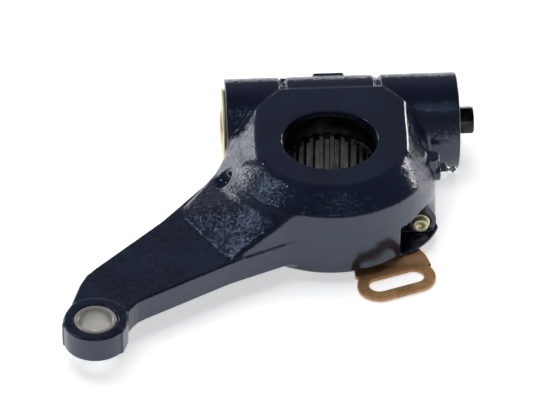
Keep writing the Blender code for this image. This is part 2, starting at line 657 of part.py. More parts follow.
def worm_shaft():
    profile = [(0, HEX_START), (HEX_JOURNAL, HEX_START), (HEX_JOURNAL, JOURNAL_LEFT)]
    profile += [(STEM, JOURNAL_LEFT), (STEM, BLOCK_HALF), (WORM_ROOT_RADIUS, BLOCK_HALF)]
    profile += [(WORM_ROOT_RADIUS, -BLOCK_HALF), (LEFT_STUB, -BLOCK_HALF)]
    profile += [(LEFT_STUB, STUB_LEFT), (0, STUB_LEFT)]
    shaft = turned("worm_shaft", profile, BLACK_STEEL, "X", AT_WORM, 18)
    across = HEX_FLATS / sqrt(3)
    hexagon = [(across * cos(radians(a)), across * sin(radians(a))) for a in range(0, 360, 60)]
    hexagon = plate("hex_end", [hexagon], HEX_START - 2 * MM, TUBE_RIGHT + HEX_REACH, None, "X", AT_WORM)
    rounding = [(0, TUBE_RIGHT + HEX_REACH + 3 * MM), (2 * MM, TUBE_RIGHT + HEX_REACH + 3 * MM)]
    rounding += [(HEX_FLATS / 2 - 0.2 * MM, TUBE_RIGHT + HEX_REACH - 0.1 * MM)]
    rounding += [(across + 2 * MM, TUBE_RIGHT + HEX_REACH - 1.7 * MM)]
    rounding += [(across + 2 * MM, HEX_START - 5 * MM), (0, HEX_START - 5 * MM)]
    rounding = turned("hex_rounding", rounding, None, "X", AT_WORM, 24)
    trim = hexagon.modifiers.new("trim", "BOOLEAN")
    trim.operation = "INTERSECT"
    trim.object = rounding
    join(shaft, hexagon, worm_thread())
    return shaft


def worm_thread():
    """One right-hand thread. Its crest faces the wheel half way along."""
    turns = 2.6
    steps = 14
    depth = WORM_TIP_RADIUS - WORM_ROOT_RADIUS
    crest = THREAD / 2 - (WORM_TIP_RADIUS - WORM_PITCH_RADIUS) * tan(PRESSURE_ANGLE)
    base = crest + (depth + 0.8 * MM) * tan(PRESSURE_ANGLE)
    start = -turns * WORM_LEAD / 2
    inner = WORM_ROOT_RADIUS - 0.8 * MM
    corners = [(inner, start - base), (WORM_TIP_RADIUS, start - crest)]
    corners += [(WORM_TIP_RADIUS, start + crest), (inner, start + base)]
    # Local X turns to world -Z and local Y stays, so -Y is reached at -90 degrees.
    facing = -pi / 2 - turns * pi
    section = [(r * cos(facing), r * sin(facing), x) for r, x in corners]
    return carried("worm_thread", section, round(turns * steps), turns * 2 * pi, turns * WORM_LEAD,
                   None, "X", AT_WORM)


worm_shaft()
THRUST = 1.9 * MM
THRUST_RADIUS = WORM_BORE - 2.0 * MM
thrust_x = -BLOCK_HALF - SEAT
tube("thrust_bearing", LEFT_STUB + SEAT, THRUST_RADIUS, thrust_x - THRUST, thrust_x, BUSH_STEEL,
     "X", AT_WORM, 24)
SEAT_PLATE = 2.6 * MM
plate_x = thrust_x - THRUST - SEAT
SEAT_HUB = 6.8 * MM
seat_profile = [(LEFT_STUB + SEAT, plate_x), (WORM_BORE - SEAT, plate_x)]
seat_profile += [(WORM_BORE - SEAT, plate_x - SEAT_PLATE), (SEAT_HUB, plate_x - SEAT_PLATE)]
seat_profile += [(SEAT_HUB, plate_x - 7 * MM), (LEFT_STUB + SEAT, plate_x - 7 * MM)]
turned("spring_seat", seat_profile, STEEL, "X", AT_WORM, 24)

# End cap at the left, with its O-ring and the power spring that it holds
CAP_FLANGE = 18.2 * MM
CAP_FLANGE_THICKNESS = 1.2 * MM
CAP_NOSE = 7.5 * MM
CAP_NOSE_REACH = 1.0 * MM
CAP_PLUG = CAP_BORE - SEAT
CAP_CORD = 0.9 * MM
cap_face = TUBE_LEFT - SEAT
cap_out = cap_face - CAP_FLANGE_THICKNESS
cap_inner = CAP_SEAT + SEAT - 1 * MM
groove_x = (cap_face + cap_inner) / 2
groove = CAP_PLUG - 2 * CAP_CORD - SEAT
cap = [(0, cap_inner), (CAP_PLUG, cap_inner), (CAP_PLUG, groove_x + 1.2 * MM)]
cap += [(groove, groove_x + 1.2 * MM), (groove, groove_x - 1.2 * MM)]
cap += [(CAP_PLUG, groove_x - 1.2 * MM), (CAP_PLUG, cap_face), (CAP_FLANGE, cap_face)]
cap += [(CAP_FLANGE, cap_out + 0.4 * MM), (CAP_FLANGE - 0.4 * MM, cap_out), (11.5 * MM, cap_out)]
cap += [(11 * MM, cap_out + 0.5 * MM), (CAP_NOSE + 0.6 * MM, cap_out + 0.5 * MM)]
cap += [(CAP_NOSE, cap_out - CAP_NOSE_REACH), (0, cap_out - CAP_NOSE_REACH)]
end_cap = turned("end_cap", cap, YELLOW_ZINC, "X", AT_WORM, 26)
key = [(3.2 * MM * cos(radians(a)), 3.2 * MM * sin(radians(a))) for a in range(0, 360, 60)]
cut(end_cap, plate("cap_key", [key], cap_out - 9 * MM, cap_out + 0.8 * MM, None, "X", AT_WORM))
o_ring("end_cap_seal", CAP_PLUG - CAP_CORD, CAP_CORD, groove_x, RUBBER, "X", AT_WORM, 24)
POWER_WIRE = 3.2 * MM
POWER_RADIUS = (SEAT_HUB + WORM_BORE - SEAT) / 2
coil("power_spring", POWER_RADIUS, POWER_WIRE, cap_inner + SEAT, plate_x - SEAT_PLATE - SEAT, 4,
     SPRING_STEEL, "X", AT_WORM, 12)

# Clutch ring, one-way spring and rack gear on the shaft's stem
CLUTCH_HUB = 8.0 * MM
CLUTCH_RIM = 12.6 * MM
CLUTCH_FACE = BLOCK_HALF + SEAT
CLUTCH_SHOULDER = CLUTCH_FACE + 5.7 * MM
CLUTCH_END = CLUTCH_FACE + 12.3 * MM
clutch = [(STEM + RUNNING, CLUTCH_END), (CLUTCH_HUB, CLUTCH_END), (CLUTCH_HUB, CLUTCH_SHOULDER)]
clutch += [(CLUTCH_RIM - 1 * MM, CLUTCH_SHOULDER), (CLUTCH_RIM, CLUTCH_SHOULDER - 1 * MM)]
clutch += [(CLUTCH_RIM, CLUTCH_FACE + 1 * MM), (CLUTCH_RIM - 1.6 * MM, CLUTCH_FACE)]
clutch += [(STEM + RUNNING, CLUTCH_FACE)]
turned("clutch_ring", clutch, STEEL, "X", AT_WORM, 24)
GEAR_LEFT = RACK_X - GEAR_HALF
GEAR_RIGHT = RACK_X + GEAR_HALF


def rack_gear():
    """Small gear that the rack turns, with the hub that its spring grips."""
    root = RACK_GEAR_RADIUS - 1.25 * RACK_MODULE
    outline = gear_outline(RACK_GEAR_TEETH, RACK_MODULE, root, RACK_GEAR_RADIUS + RACK_MODULE,
                           RACK_TOOTH, 0.0)
    section = [(x, y, GEAR_LEFT) for x, y in outline]
    gear = carried("rack_gear", section, 1, 0, GEAR_RIGHT - GEAR_LEFT, STEEL, "X", AT_WORM)
    join(gear, rod("gear_hub", CLUTCH_HUB, CLUTCH_END + 0.4 * MM, GEAR_LEFT + 1 * MM, None, "X",
                   AT_WORM, 24))
    cut(gear, rod("gear_bore", STEM + RUNNING, CLUTCH_END - BEYOND, GEAR_RIGHT + BEYOND, None, "X",
                  AT_WORM, 24))
    return gear


rack_gear()
ONE_WAY_WIRE = 1.2 * MM
coil("one_way_spring", CLUTCH_HUB + RUNNING + ONE_WAY_WIRE / 2, ONE_WAY_WIRE,
     CLUTCH_SHOULDER + RUNNING, GEAR_LEFT - SEAT, 5, SPRING_STEEL, "X", AT_WORM, 12)

# Bearing and seal round the hex end
SEAL_POCKET = 10.0 * MM
bearing = [(SEAL_POCKET, TUBE_RIGHT), (WORM_BORE - SEAT - 0.5 * MM, TUBE_RIGHT)]
bearing += [(WORM_BORE - SEAT, TUBE_RIGHT - 0.5 * MM), (WORM_BORE - SEAT, JOURNAL_LEFT + SEAT)]
bearing += [(HEX_JOURNAL + RUNNING, JOURNAL_LEFT + SEAT), (HEX_JOURNAL + RUNNING, TUBE_RIGHT - 4 * MM)]
bearing += [(SEAL_POCKET, TUBE_RIGHT - 4 * MM)]
turned("hex_bearing", bearing, BLACK_STEEL, "X", AT_WORM, 24)
tube("hex_seal", HEX_JOURNAL + SEAT, SEAL_POCKET - SEAT, TUBE_RIGHT - 4 * MM + SEAT,
     TUBE_RIGHT - 1.2 * MM, RUBBER, "X", AT_WORM, 24)

# Rack: bar along Y with teeth under the gear and a lug to the control disc


def rack():
    """Bar drawn in its side view, along Y and Z, then the lug joined to it."""
    tip = RACK_TOOTH / 2 - (RACK_TIP_Z - RACK_PITCH_Z) * tan(PRESSURE_ANGLE)
    root = RACK_TOOTH_ROOT
    outline = [(RACK_FRONT, RACK_BOTTOM_Z), (RACK_REAR, RACK_BOTTOM_Z)]
    teeth = []
    for index in range(RACK_TEETH):
        y = WORM_Y - (index - 1) * RACK_PITCH
        teeth += [(y + root, RACK_ROOT_Z), (y + tip, RACK_TIP_Z)]
        teeth += [(y - tip, RACK_TIP_Z), (y - root, RACK_ROOT_Z)]
    outline += [(RACK_REAR, RACK_ROOT_Z)] + teeth
    outline += [(teeth[-1][0] - 1 * MM, RACK_TIP_Z), (RACK_FRONT, RACK_TIP_Z)]
    # Drawn with world Z on local -X, so that the turned plate stands along X.
    drawn = [(-z, y) for y, z in outline]
    half = RACK_WIDTH / 2
    bar = plate("rack", [drawn], RACK_X - half, RACK_X + half, STEEL, "X")
    neck = box("lug_neck", (LUG_REACH, -1.4 * MM, DISC_BOTTOM), (RACK_X, 1.4 * MM, DISC_TOP))
    lug = rod("lug", LUG_RADIUS, DISC_BOTTOM - 0.01 * MM, DISC_TOP + 0.01 * MM, None, "Z",
              (LUG_REACH, 0, 0), 20)
    join(bar, neck, lug)
    return bar


rack()
PLUG_NOSE = 3.7 * MM
PLUG_REACH = 3.2 * MM
PLUG_DEPTH = 4.0 * MM
plug_back = TUNNEL_FRONT + PLUG_DEPTH
plug = [(0, plug_back), (RACK_TUNNEL - SEAT, plug_back), (RACK_TUNNEL - SEAT, TUNNEL_FRONT - 0.6 * MM)]
plug += [(PLUG_NOSE, TUNNEL_FRONT - 0.6 * MM), (PLUG_NOSE, TUNNEL_FRONT - PLUG_REACH + 0.5 * MM)]
plug += [(PLUG_NOSE - 0.5 * MM, TUNNEL_FRONT - PLUG_REACH), (1.5 * MM, TUNNEL_FRONT - PLUG_REACH)]
plug += [(1.2 * MM, TUNNEL_FRONT - PLUG_REACH + 0.8 * MM), (0, TUNNEL_FRONT - PLUG_REACH + 0.8 * MM)]
turned("rack_plug", plug, YELLOW_ZINC, "Y", (RACK_X, 0, TUNNEL_Z), 24)
coil("rack_spring", 3.0 * MM, 0.9 * MM, plug_back + SEAT, RACK_FRONT - SEAT, 5,
     SPRING_STEEL, "Y", (RACK_X, 0, TUNNEL_Z), 8)

# Control unit: disc and collar inside, arm outside, riveted together
RIVET_RADIUS = 1.3 * MM
RIVET_HEAD = 2.2 * MM
RIVET_ANGLES = (20, 110, 200, 250)
NECK_BEND = -39.0 * MM
NECK_RUN = 3.0 * MM


def rivet_place(angle):
    middle = (LOWER_HUB_RADIUS + RUNNING + COLLAR_RADIUS) / 2
    return (middle * cos(radians(angle)), middle * sin(radians(angle)), 0)


def control_disc():
    inner = LOWER_HUB_RADIUS + RUNNING
    profile = [(inner, DISC_TOP), (DISC_RIM, DISC_TOP), (DISC_RIM, DISC_BOTTOM)]
    profile += [(COLLAR_RADIUS, DISC_BOTTOM), (COLLAR_RADIUS, COLLAR_BOTTOM), (inner, COLLAR_BOTTOM)]
    disc = turned("control_disc", profile, STEEL, segments=40)
    low = LUG_REACH - LUG_RADIUS - 0.6 * MM
    notch = box("disc_notch", (low, -NOTCH_WIDTH / 2, DISC_BOTTOM - 1 * MM),
                (60 * MM, NOTCH_WIDTH / 2, DISC_TOP + 1 * MM))
    cut(disc, notch)
    for index, angle in enumerate(RIVET_ANGLES):
        cut(disc, rod("rivet_seat_%d" % index, RIVET_RADIUS + SEAT, COLLAR_BOTTOM - 5 * MM,
                      COLLAR_BOTTOM + 3.4 * MM, None, "Z", rivet_place(angle), 8))
    return disc


def slot_outline(radius, count):
    """Slot or pad round the slot's line, by its end radius."""
    reach = (SLOT_LENGTH - SLOT_WIDTH) / 2
    along = (cos(SLOT_ANGLE), sin(SLOT_ANGLE))
    turn = degrees(SLOT_ANGLE)
    right = arc(SLOT_X + reach * along[0], SLOT_Y + reach * along[1], radius, turn - 90, turn + 90, count)
    left = arc(SLOT_X - reach * along[0], SLOT_Y - reach * along[1], radius, turn + 90, turn + 270, count)
    return left, right


def control_arm():
    """Pressed plate: ring round the collar, neck, and a lower pad with a slot."""
    left, right = slot_outline(ARM_PAD_RADIUS, 9)
    hub = arc(0, 0, ARM_HUB_RADIUS, -14, 256, 24)
    outline = hub + [(8.6 * MM, -38 * MM), (9 * MM, -46 * MM)]
    outline += left[4:] + right[:-2] + [(44 * MM, -39.4 * MM)]
    slot_left, slot_right = slot_outline(SLOT_WIDTH / 2, 8)
    inner = LOWER_HUB_RADIUS - 1 * MM
    hole = arc(0, 0, inner, 0, 351, 39)
    arm = plate("control_arm", [outline, hole, slot_left + slot_right], ARM_TOP - ARM_THICKNESS,
                ARM_TOP, ARM_ZINC)
    form = bmesh.new()
    form.from_mesh(arm.data)
    for y in (NECK_BEND, NECK_BEND + NECK_RUN):
        geom = list(form.verts) + list(form.edges) + list(form.faces)
        bmesh.ops.bisect_plane(form, geom=geom, dist=0.000001, plane_co=(0, y, 0), plane_no=(0, 1, 0))
    for vert in form.verts:
        share = (NECK_BEND + NECK_RUN - vert.co.y) / NECK_RUN
        vert.co.z -= ARM_JOGGLE * min(1, max(0, share))
    form.to_mesh(arm.data)
    form.free()
    for index, angle in enumerate(RIVET_ANGLES):
        cut(arm, rod("rivet_hole_%d" % index, RIVET_RADIUS + SEAT, ARM_TOP - 9 * MM, ARM_TOP + 9 * MM,
                     None, "Z", rivet_place(angle), 8))
    return arm


def rivets():
    """Rivets with their heads under the arm and their shanks in the collar."""
    low = ARM_TOP - ARM_THICKNESS - SEAT
    top = COLLAR_BOTTOM + 3 * MM
    profile = [(0, top), (RIVET_RADIUS, top), (RIVET_RADIUS, low), (RIVET_HEAD, low)]
    profile += [(RIVET_HEAD * 0.8, low - 0.9 * MM), (0, low - 1.1 * MM)]
    for index, angle in enumerate(RIVET_ANGLES):
        turned("arm_rivet_%d" % (index + 1), profile, YELLOW_ZINC, "Z", rivet_place(angle), 10)


control_disc()
control_arm()
rivets()

# Friction spring and cover under the wheel chamber
spring_low = COVER_TOP + SEAT
spring_high = DISC_BOTTOM - SEAT
SPRING_WALL = 0.9 * MM
SPRING_TIP = COLLAR_RADIUS + 1.6 * MM
SPRING_RIM = CHAMBER_RADIUS - 2.0 * MM
cone = [(SPRING_TIP, spring_high), (SPRING_TIP + 1 * MM, spring_high)]
cone += [(SPRING_RIM, spring_low + SPRING_WALL), (SPRING_RIM, spring_low)]
cone += [(SPRING_RIM - 1 * MM, spring_low)]
cone += [(SPRING_TIP, spring_high - SPRING_WALL)]
turned("friction_spring", cone, SPRING_STEEL, segments=24)
SCREW_HEAD = 3.1 * MM
HEAD_HEIGHT = 0.9 * MM


def cover():
    low = HUB_BOTTOM + 0.05 * MM
    made = tube("cover_plate", COLLAR_RADIUS + RUNNING, COVER_RADIUS, low, COVER_TOP, PAINT, segments=36)
    for index, angle in enumerate(EAR_ANGLES):
        at = (EAR_PITCH * cos(radians(angle)), EAR_PITCH * sin(radians(angle)), 0)
        join(made, rod("ear_%d" % index, EAR_RADIUS, low, COVER_TOP, None, "Z", at, 14))
        cut(made, rod("head_seat_%d" % index, SCREW_HEAD + SEAT, low - 5 * MM, low + HEAD_HEIGHT,
                      None, "Z", at, 10))
        cut(made, rod("cover_hole_%d" % index, SCREW_BORE, low - 5 * MM, low + 5 * MM, None, "Z", at, 8))
    return made


def cover_screws():
    """Flat-headed screws, sunk flush in the cover's ears."""
    low = HUB_BOTTOM + 0.05 * MM
    head_top = low + HEAD_HEIGHT - SEAT
    top = COVER_SEAT + 7 * MM
    profile = [(0, top), (1.5 * MM, top), (1.5 * MM, head_top), (SCREW_HEAD, head_top)]
    profile += [(SCREW_HEAD, low), (0, low)]
    for index, angle in enumerate(EAR_ANGLES):
        at = (EAR_PITCH * cos(radians(angle)), EAR_PITCH * sin(radians(angle)), 0)
        turned("cover_screw_%d" % (index + 1), profile, YELLOW_ZINC, "Z", at, 10)


cover()
cover_screws()

# Grease nipple at the right of the hub
nipple_face = NIPPLE_FACE + SEAT
nipple = [(0, nipple_face + 7.4 * MM), (1.3 * MM, nipple_face + 7.2 * MM)]
nipple += [(1.7 * MM, nipple_face + 6.2 * MM), (1.2 * MM, nipple_face + 4.8 * MM)]
nipple += [(1.9 * MM, nipple_face + 3.2 * MM), (2.2 * MM, nipple_face + 2 * MM)]
nipple += [(2.3 * MM, nipple_face), (2.3 * MM, nipple_face - 5 * MM), (0, nipple_face - 5 * MM)]
nipple = turned("grease_nipple", nipple, BRIGHT_ZINC, "X", AT_NIPPLE, 14)
flats = [(4 * MM * cos(radians(a)), 4 * MM * sin(radians(a))) for a in range(0, 360, 60)]
join(nipple, plate("nipple_hex", [flats], nipple_face, nipple_face + 2.6 * MM, None, "X", AT_NIPPLE))

for made in parts.objects:
    shade(made.data)
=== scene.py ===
"""Automatic brake slack adjuster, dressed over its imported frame, in the order of its assembly."""

from math import cos, pi, radians, sin, tan

import bmesh
import bpy
import numpy as np
from mathutils import Matrix, Vector


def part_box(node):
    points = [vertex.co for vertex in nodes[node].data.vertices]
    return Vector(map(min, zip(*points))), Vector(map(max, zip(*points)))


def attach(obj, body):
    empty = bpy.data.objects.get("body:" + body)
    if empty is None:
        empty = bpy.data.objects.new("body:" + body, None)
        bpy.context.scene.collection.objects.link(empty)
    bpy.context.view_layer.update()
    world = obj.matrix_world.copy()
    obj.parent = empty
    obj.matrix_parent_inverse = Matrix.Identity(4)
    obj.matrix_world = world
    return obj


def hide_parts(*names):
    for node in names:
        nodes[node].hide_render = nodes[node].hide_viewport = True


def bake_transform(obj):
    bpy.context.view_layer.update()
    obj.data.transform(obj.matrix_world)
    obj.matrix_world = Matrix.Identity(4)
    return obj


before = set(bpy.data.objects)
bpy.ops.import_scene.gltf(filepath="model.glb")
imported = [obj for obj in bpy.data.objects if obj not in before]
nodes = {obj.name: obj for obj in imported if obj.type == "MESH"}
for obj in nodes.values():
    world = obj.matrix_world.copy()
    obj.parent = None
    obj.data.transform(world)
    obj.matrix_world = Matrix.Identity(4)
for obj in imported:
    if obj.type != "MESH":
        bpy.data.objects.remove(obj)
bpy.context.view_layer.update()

# Adjuster body
# One sand casting of ductile iron: hub, tube for the worm, lever, and a boss for the rack.
# Its cast skin stays rough and is sprayed with navy-black enamel; the ring face and the
# bores are machined flat and round.

# Sizes are in millimetres, with Z along the camshaft and X along the worm.
HUB_RADIUS = 48.5
HUB_BOTTOM, RING_TOP = -17.0, 23.0
RING_RADIUS = 35.5
CONE_ACROSS, CONE_UP = 0.474, 0.88
WORM_Y = 42.0
TUBE_RADIUS = 22.6
TUBE_LEFT, TUBE_RIGHT = -46.0, 62.0
LEVER_LENGTH = 145.0
LEVER_ANGLE = radians(221.2)
LEVER_LOW, LEVER_TOP = -12.0, 0.5
CLEVIS = (LEVER_LENGTH * cos(LEVER_ANGLE), LEVER_LENGTH * sin(LEVER_ANGLE))
CLEVIS_BOSS, BUSH_BORE = 14.35, 9.75
RACK_X, TUNNEL_Z, TUNNEL_FRONT = 40.0, -9.7, -21.3
TUNNEL_BOSS, RACK_BORE = 7.6, 4.9
POCKET_LEFT, POCKET_FLOOR = 30.0, HUB_BOTTOM + 1.7
ARM_REACH = 27.6
NIPPLE_Y, NIPPLE_SPOT, NIPPLE_BORE = 4.0, 51.0, 2.6
GROOVES_X, GROOVE_REACH = (-18.9, 24.9), 24.0
DIMPLE, DIMPLE_RADIUS = (-49.3, -8, 9), 4.6


def on_circle(radius, angle):
    """A place on a circle round the camshaft's line, its angle in degrees."""
    return radius * cos(radians(angle)), radius * sin(radians(angle))


EARS = [on_circle(40, angle) for angle in (205, 250, 290, 160)]


def fuse(first, second, fillet):
    """Distance to two bodies joined: the smaller, rounded where the two are alike."""
    near = np.maximum(fillet - np.abs(first - second), 0) / fillet
    return np.minimum(first, second) - near * near * fillet / 4


def meet(first, second, edge):
    """Distance to what two bodies share: the larger, with a rounded edge."""
    return -fuse(-first, -second, edge)


def carve(body, tool, edge):
    """Distance to a body with a tool's shape taken out of it."""
    return meet(body, -tool, edge)


def rounded(side, end, edge):
    """Distance to a bar from its distances sideways and endways, less its edge radius."""
    side = side + edge
    end = end + edge
    inner = np.minimum(np.maximum(side, end), 0)
    return inner + np.hypot(np.maximum(side, 0), np.maximum(end, 0)) - edge


def outline_distance(u, v, corners):
    """Signed distance to a closed outline: the nearest side, negative inside the outline."""
    nearest = np.full(u.shape, 1e9)
    inside = np.ones(u.shape)
    for (ax, ay), (bx, by) in zip(corners, corners[-1:] + corners[:-1]):
        ex, ey = bx - ax, by - ay
        wx, wy = u - ax, v - ay
        share = np.clip((wx * ex + wy * ey) / (ex * ex + ey * ey), 0, 1)
        nearest = np.minimum(nearest, (wx - ex * share) ** 2 + (wy - ey * share) ** 2)
        above = v >= ay
        below = v < by
        left = ex * wy > ey * wx
        crossed = (above & below & left) | (~above & ~below & ~left)
        inside = np.where(crossed, -inside, inside)
    return inside * np.sqrt(nearest)


def slab(along, low, high):
    """Distance to the space between two heights."""
    return np.abs(along - (low + high) / 2) - (high - low) / 2


def bar(across_a, across_b, along, radius, low, high, edge):
    """Distance to a round bar along one direction between two heights."""
    return rounded(np.hypot(across_a, across_b) - radius, slab(along, low, high), edge)


def block(place, low, high, edge):
    """Distance to a block between two corners, with rounded edges."""
    low, high = np.array(low), np.array(high)
    reach = np.abs(place - (low + high) / 2) - (high - low) / 2 + edge
    outside = np.sqrt((np.maximum(reach, 0) ** 2).sum(axis=1))
    return np.minimum(reach.max(axis=1), 0) + outside - edge


def hull_planes(corners):
    """Outward faces of the convex block round a set of corners."""
    form = bmesh.new()
    bmesh.ops.convex_hull(form, input=[form.verts.new(corner) for corner in corners])
    bmesh.ops.recalc_face_normals(form, faces=form.faces)
    planes = [(np.array(face.normal), np.array(face.verts[0].co)) for face in form.faces]
    form.free()
    return planes


def on_lever(share, across, *height):
    """A place by its share of the way from clevis pin to camshaft and its distance leftwards."""
    along = LEVER_LENGTH * (1 - share)
    x = along * cos(LEVER_ANGLE) + across * sin(LEVER_ANGLE)
    y = along * sin(LEVER_ANGLE) - across * cos(LEVER_ANGLE)
    return (x, y, *height)


# The lever's plan, and the corners of the ramp by which it rises to the hub.
lever_edge = [on_lever(*corner) for corner in (
    (0.019, -14.7), (0.096, -6.2), (0.123, -5.0), (0.148, -4.3), (0.176, -4.7), (0.481, -13.1),
    (0.695, -22.4), (0.903, -0.9), (1.032, 35.7), (0.9, 52.6), (0.827, 40.6), (0.474, 30.9),
    (0.173, 27.0), (0.125, 26.0), (0.078, 23.0), (-0.088, 7.8))]
ramp_planes = hull_planes([on_lever(*corner) for corner in (
    (0.515, 13.8, -11.6), (0.515, 13.8, 0.4), (0.482, -12.9, -11.6), (0.482, -12.9, 0.4),
    (0.532, 30.2, -11.6), (0.532, 30.2, 0.4), (0.82, 40.1, -11.6), (0.82, 40.1, 0.4),
    (0.685, -21.8, -11.6), (0.955, 23.0, -11.6), (0.667, -5.0, 15.8), (0.706, -22.8, 15.8),
    (0.942, 20.7, 15.8), (0.711, 20.7, 9.0), (0.822, 38.5, 7.5))])

# The ring's platform, and the planes that cut its flanks: a place on the ring's face where the
# plane starts, its rise over X and over Y, and the softness of the edge that it makes.
platform_edge = [(-20, -19), (20, -19), (33.2, -11), (38, -9), (42, 9), (46, 13), (46, 20),
                 (26.5, 39.5), (-20.5, 39.5), (-42.5, 17.5), (-42.5, 16), (-39, -8), (-31.5, -15)]
side_slopes = ((-32.7, 0, 0.867, 0, 4), (-32.7, 25.2, 1.484, -0.363, 2.5),
               (35.2, 10, -1.45, 0.08, 3.5))


def iron_masses(place):
    """Distance to the cast form before machining: each mass joined by its fillet radius."""
    x, y, z = place.T
    reach = np.hypot(x, y)
    cone = CONE_ACROSS * (reach - RING_RADIUS) + CONE_UP * (z - RING_TOP)
    hub = meet(reach - HUB_RADIUS, cone, 1.4)
    platform = meet(outline_distance(x, y, platform_edge), 2 - z, 1)
    for edge_x, edge_y, rise_x, rise_y, soft in side_slopes:
        plane = z - RING_TOP - rise_x * (x - edge_x) - rise_y * (y - edge_y)
        plane = plane / np.sqrt(1 + rise_x ** 2 + rise_y ** 2)
        hub = meet(hub, plane, soft)
        platform = meet(platform, plane, 1.6)
    body = meet(fuse(hub, platform, 2.5), HUB_BOTTOM - z, 2.4)
    # A block joins the hub to the tube.
    body = fuse(body, block(place, (-43.5, 12, -15.5), (43.5, WORM_Y, 11), 2), 4)
    body = fuse(body, bar(y - WORM_Y, z, x, TUBE_RADIUS, TUBE_LEFT, TUBE_RIGHT, 0.9), 2.5)
    lever = rounded(outline_distance(x, y, lever_edge), slab(z, LEVER_LOW, LEVER_TOP), 1.2)
    boss = bar(x - CLEVIS[0], y - CLEVIS[1], z, CLEVIS_BOSS, LEVER_LOW, LEVER_TOP, 1)
    ramp = np.full(x.shape, -1e3)
    for normal, corner in ramp_planes:
        ramp = meet(ramp, (place - corner) @ normal, 2.2)
    lever = fuse(fuse(lever, boss, 1.5), ramp, 1.6)
    body = fuse(body, lever, 5)
    body = fuse(body, bar(x - RACK_X, z - TUNNEL_Z, y, TUNNEL_BOSS, TUNNEL_FRONT, 59, 1), 2.5)
    # A short rib and the flat spot carry the nipple, and a pad stands on the tube's back.
    body = fuse(body, bar(x - 46.9, y - NIPPLE_Y, z, 4, 0, 9, 1), 1.5)
    body = fuse(body, bar(y - NIPPLE_Y, z, x, 4.6, 40.5, NIPPLE_SPOT, 0.6), 1)
    return fuse(body, block(place, (-4.5, 50, 13), (10, 57.6, 18.6), 0.8), 0.6)


def sand_waves(place):
    """Slow unevenness of a sand mould: a sum of sines in unrelated directions, from 0 to 1."""
    total = np.zeros(len(place))
    for index in range(7):
        heading = np.array([sin(2.3 * index + 1), cos(1.7 * index), sin(3.1 * index + 2)])
        heading = heading / np.linalg.norm(heading)
        total = total + np.sin(place @ heading * 2 * pi / (4.3 + 1.9 * index) + 1.3 * index)
    return 0.5 + total / 14


SAND_DEPTH = 0.12
# The turned holes for wheel and worm, as radius and height, drawn well past their axis.
wheel_space = [(-60, 28), (21.75, 28), (21.75, 19.3), (26.4, 19.3), (26.4, 9.3), (36, 9.3),
               (36, -15.3), (37.5, -15.3), (37.5, -22), (-60, -22)]
worm_space = [(-60, 67), (14, 67), (14, -41), (16.6, -41), (16.6, -51), (-60, -51)]


def casting_field(place):
    """Distance to the finished casting, in millimetres: masses, cast waves, then machined cuts."""
    x, y, z = place.T
    reach = np.hypot(x, y)
    worm_reach = np.hypot(y - WORM_Y, z)
    body = iron_masses(place) + SAND_DEPTH * sand_waves(place)
    body = meet(body, z - RING_TOP, 1)
    # Only the tube reaches below the hub, so that the arm has room to swing.
    body = np.maximum(body, np.minimum(HUB_BOTTOM - z, ARM_REACH - y))
    # The pocket in front of the rack's plug has an arched top and a thin lip as its floor.
    arch = bar(x - RACK_X + 0.8, z + 7, y, 8.2, -60, TUNNEL_FRONT, 0.4)
    pocket = block(place, (POCKET_LEFT, -60, POCKET_FLOOR), (70, TUNNEL_FRONT + 0.05, 0), 0.4)
    body = carve(body, np.minimum(arch, pocket), 1)
    lip = bar(x - 16.9, y + 6.4, z, 33.8, HUB_BOTTOM + 0.1, POCKET_FLOOR, 0.5)
    body = fuse(body, meet(lip, y + 12, 2), 0.8)
    body = carve(body, outline_distance(reach, z, wheel_space), 0.6)
    body = carve(body, outline_distance(worm_reach, x, worm_space), 0.6)
    # The rack's tunnel and its window to the control disc, the bores for pin and nipple.
    body = carve(body, bar(x - RACK_X, z - TUNNEL_Z, y, RACK_BORE, -26, 58, 0.4), 0.6)
    body = carve(body, block(place, (30, -6, -13.3), (RACK_X, 15, -10.2), 0.3), 0.3)
    body = carve(body, bar(x - CLEVIS[0], y - CLEVIS[1], z, BUSH_BORE, -17, 6, 0.3), 0.6)
    body = carve(body, bar(y - NIPPLE_Y, z, x, NIPPLE_BORE, 42, 54, 0.3), 0.5)
    away = np.sqrt((x - DIMPLE[0]) ** 2 + (y - DIMPLE[1]) ** 2 + (z - DIMPLE[2]) ** 2)
    body = carve(body, away - DIMPLE_RADIUS, 1.6)
    for groove in GROOVES_X:
        ring = rounded(np.abs(worm_reach - GROOVE_REACH) - 2.9, np.abs(x - groove) - 1.2, 0.2)
        ring = np.maximum(ring, np.maximum(WORM_Y - 0.5 - y, 8 - z))
        body = carve(body, ring, 1.8)
    for ear_x, ear_y in EARS:
        body = carve(body, bar(x - ear_x, y - ear_y, z, 4.8, -22, -15.3, 0.2), 0.4)
        body = carve(body, bar(x - ear_x, y - ear_y, z, 1.8, -23, -7.3, 0.2), 0.3)
    return body


def slope_of(field, place):
    """The field and its gradient, from four corners of a small tetrahedron."""
    step = 0.02
    corners = np.array([(1, 1, 1), (1, -1, -1), (-1, 1, -1), (-1, -1, 1)], float)
    values = [field(place + step * corner) for corner in corners]
    gradient = sum(value[:, None] * corner for value, corner in zip(values, corners)) / (4 * step)
    return sum(values) / 4, gradient


def settle(field, place, rounds):
    """Slide points onto the field's zero surface, each along the gradient by its distance."""
    for _ in range(rounds):
        value, gradient = slope_of(field, place)
        length = np.maximum((gradient ** 2).sum(axis=1), 0.25)
        step = np.clip(value / length, -0.5, 0.5)
        place = place - step[:, None] * gradient
    return place


def points_of(mesh):
    """Vertex places as an array in millimetres."""
    flat = np.empty(len(mesh.vertices) * 3)
    mesh.vertices.foreach_get("co", flat)
    return flat.reshape(-1, 3) * 1000


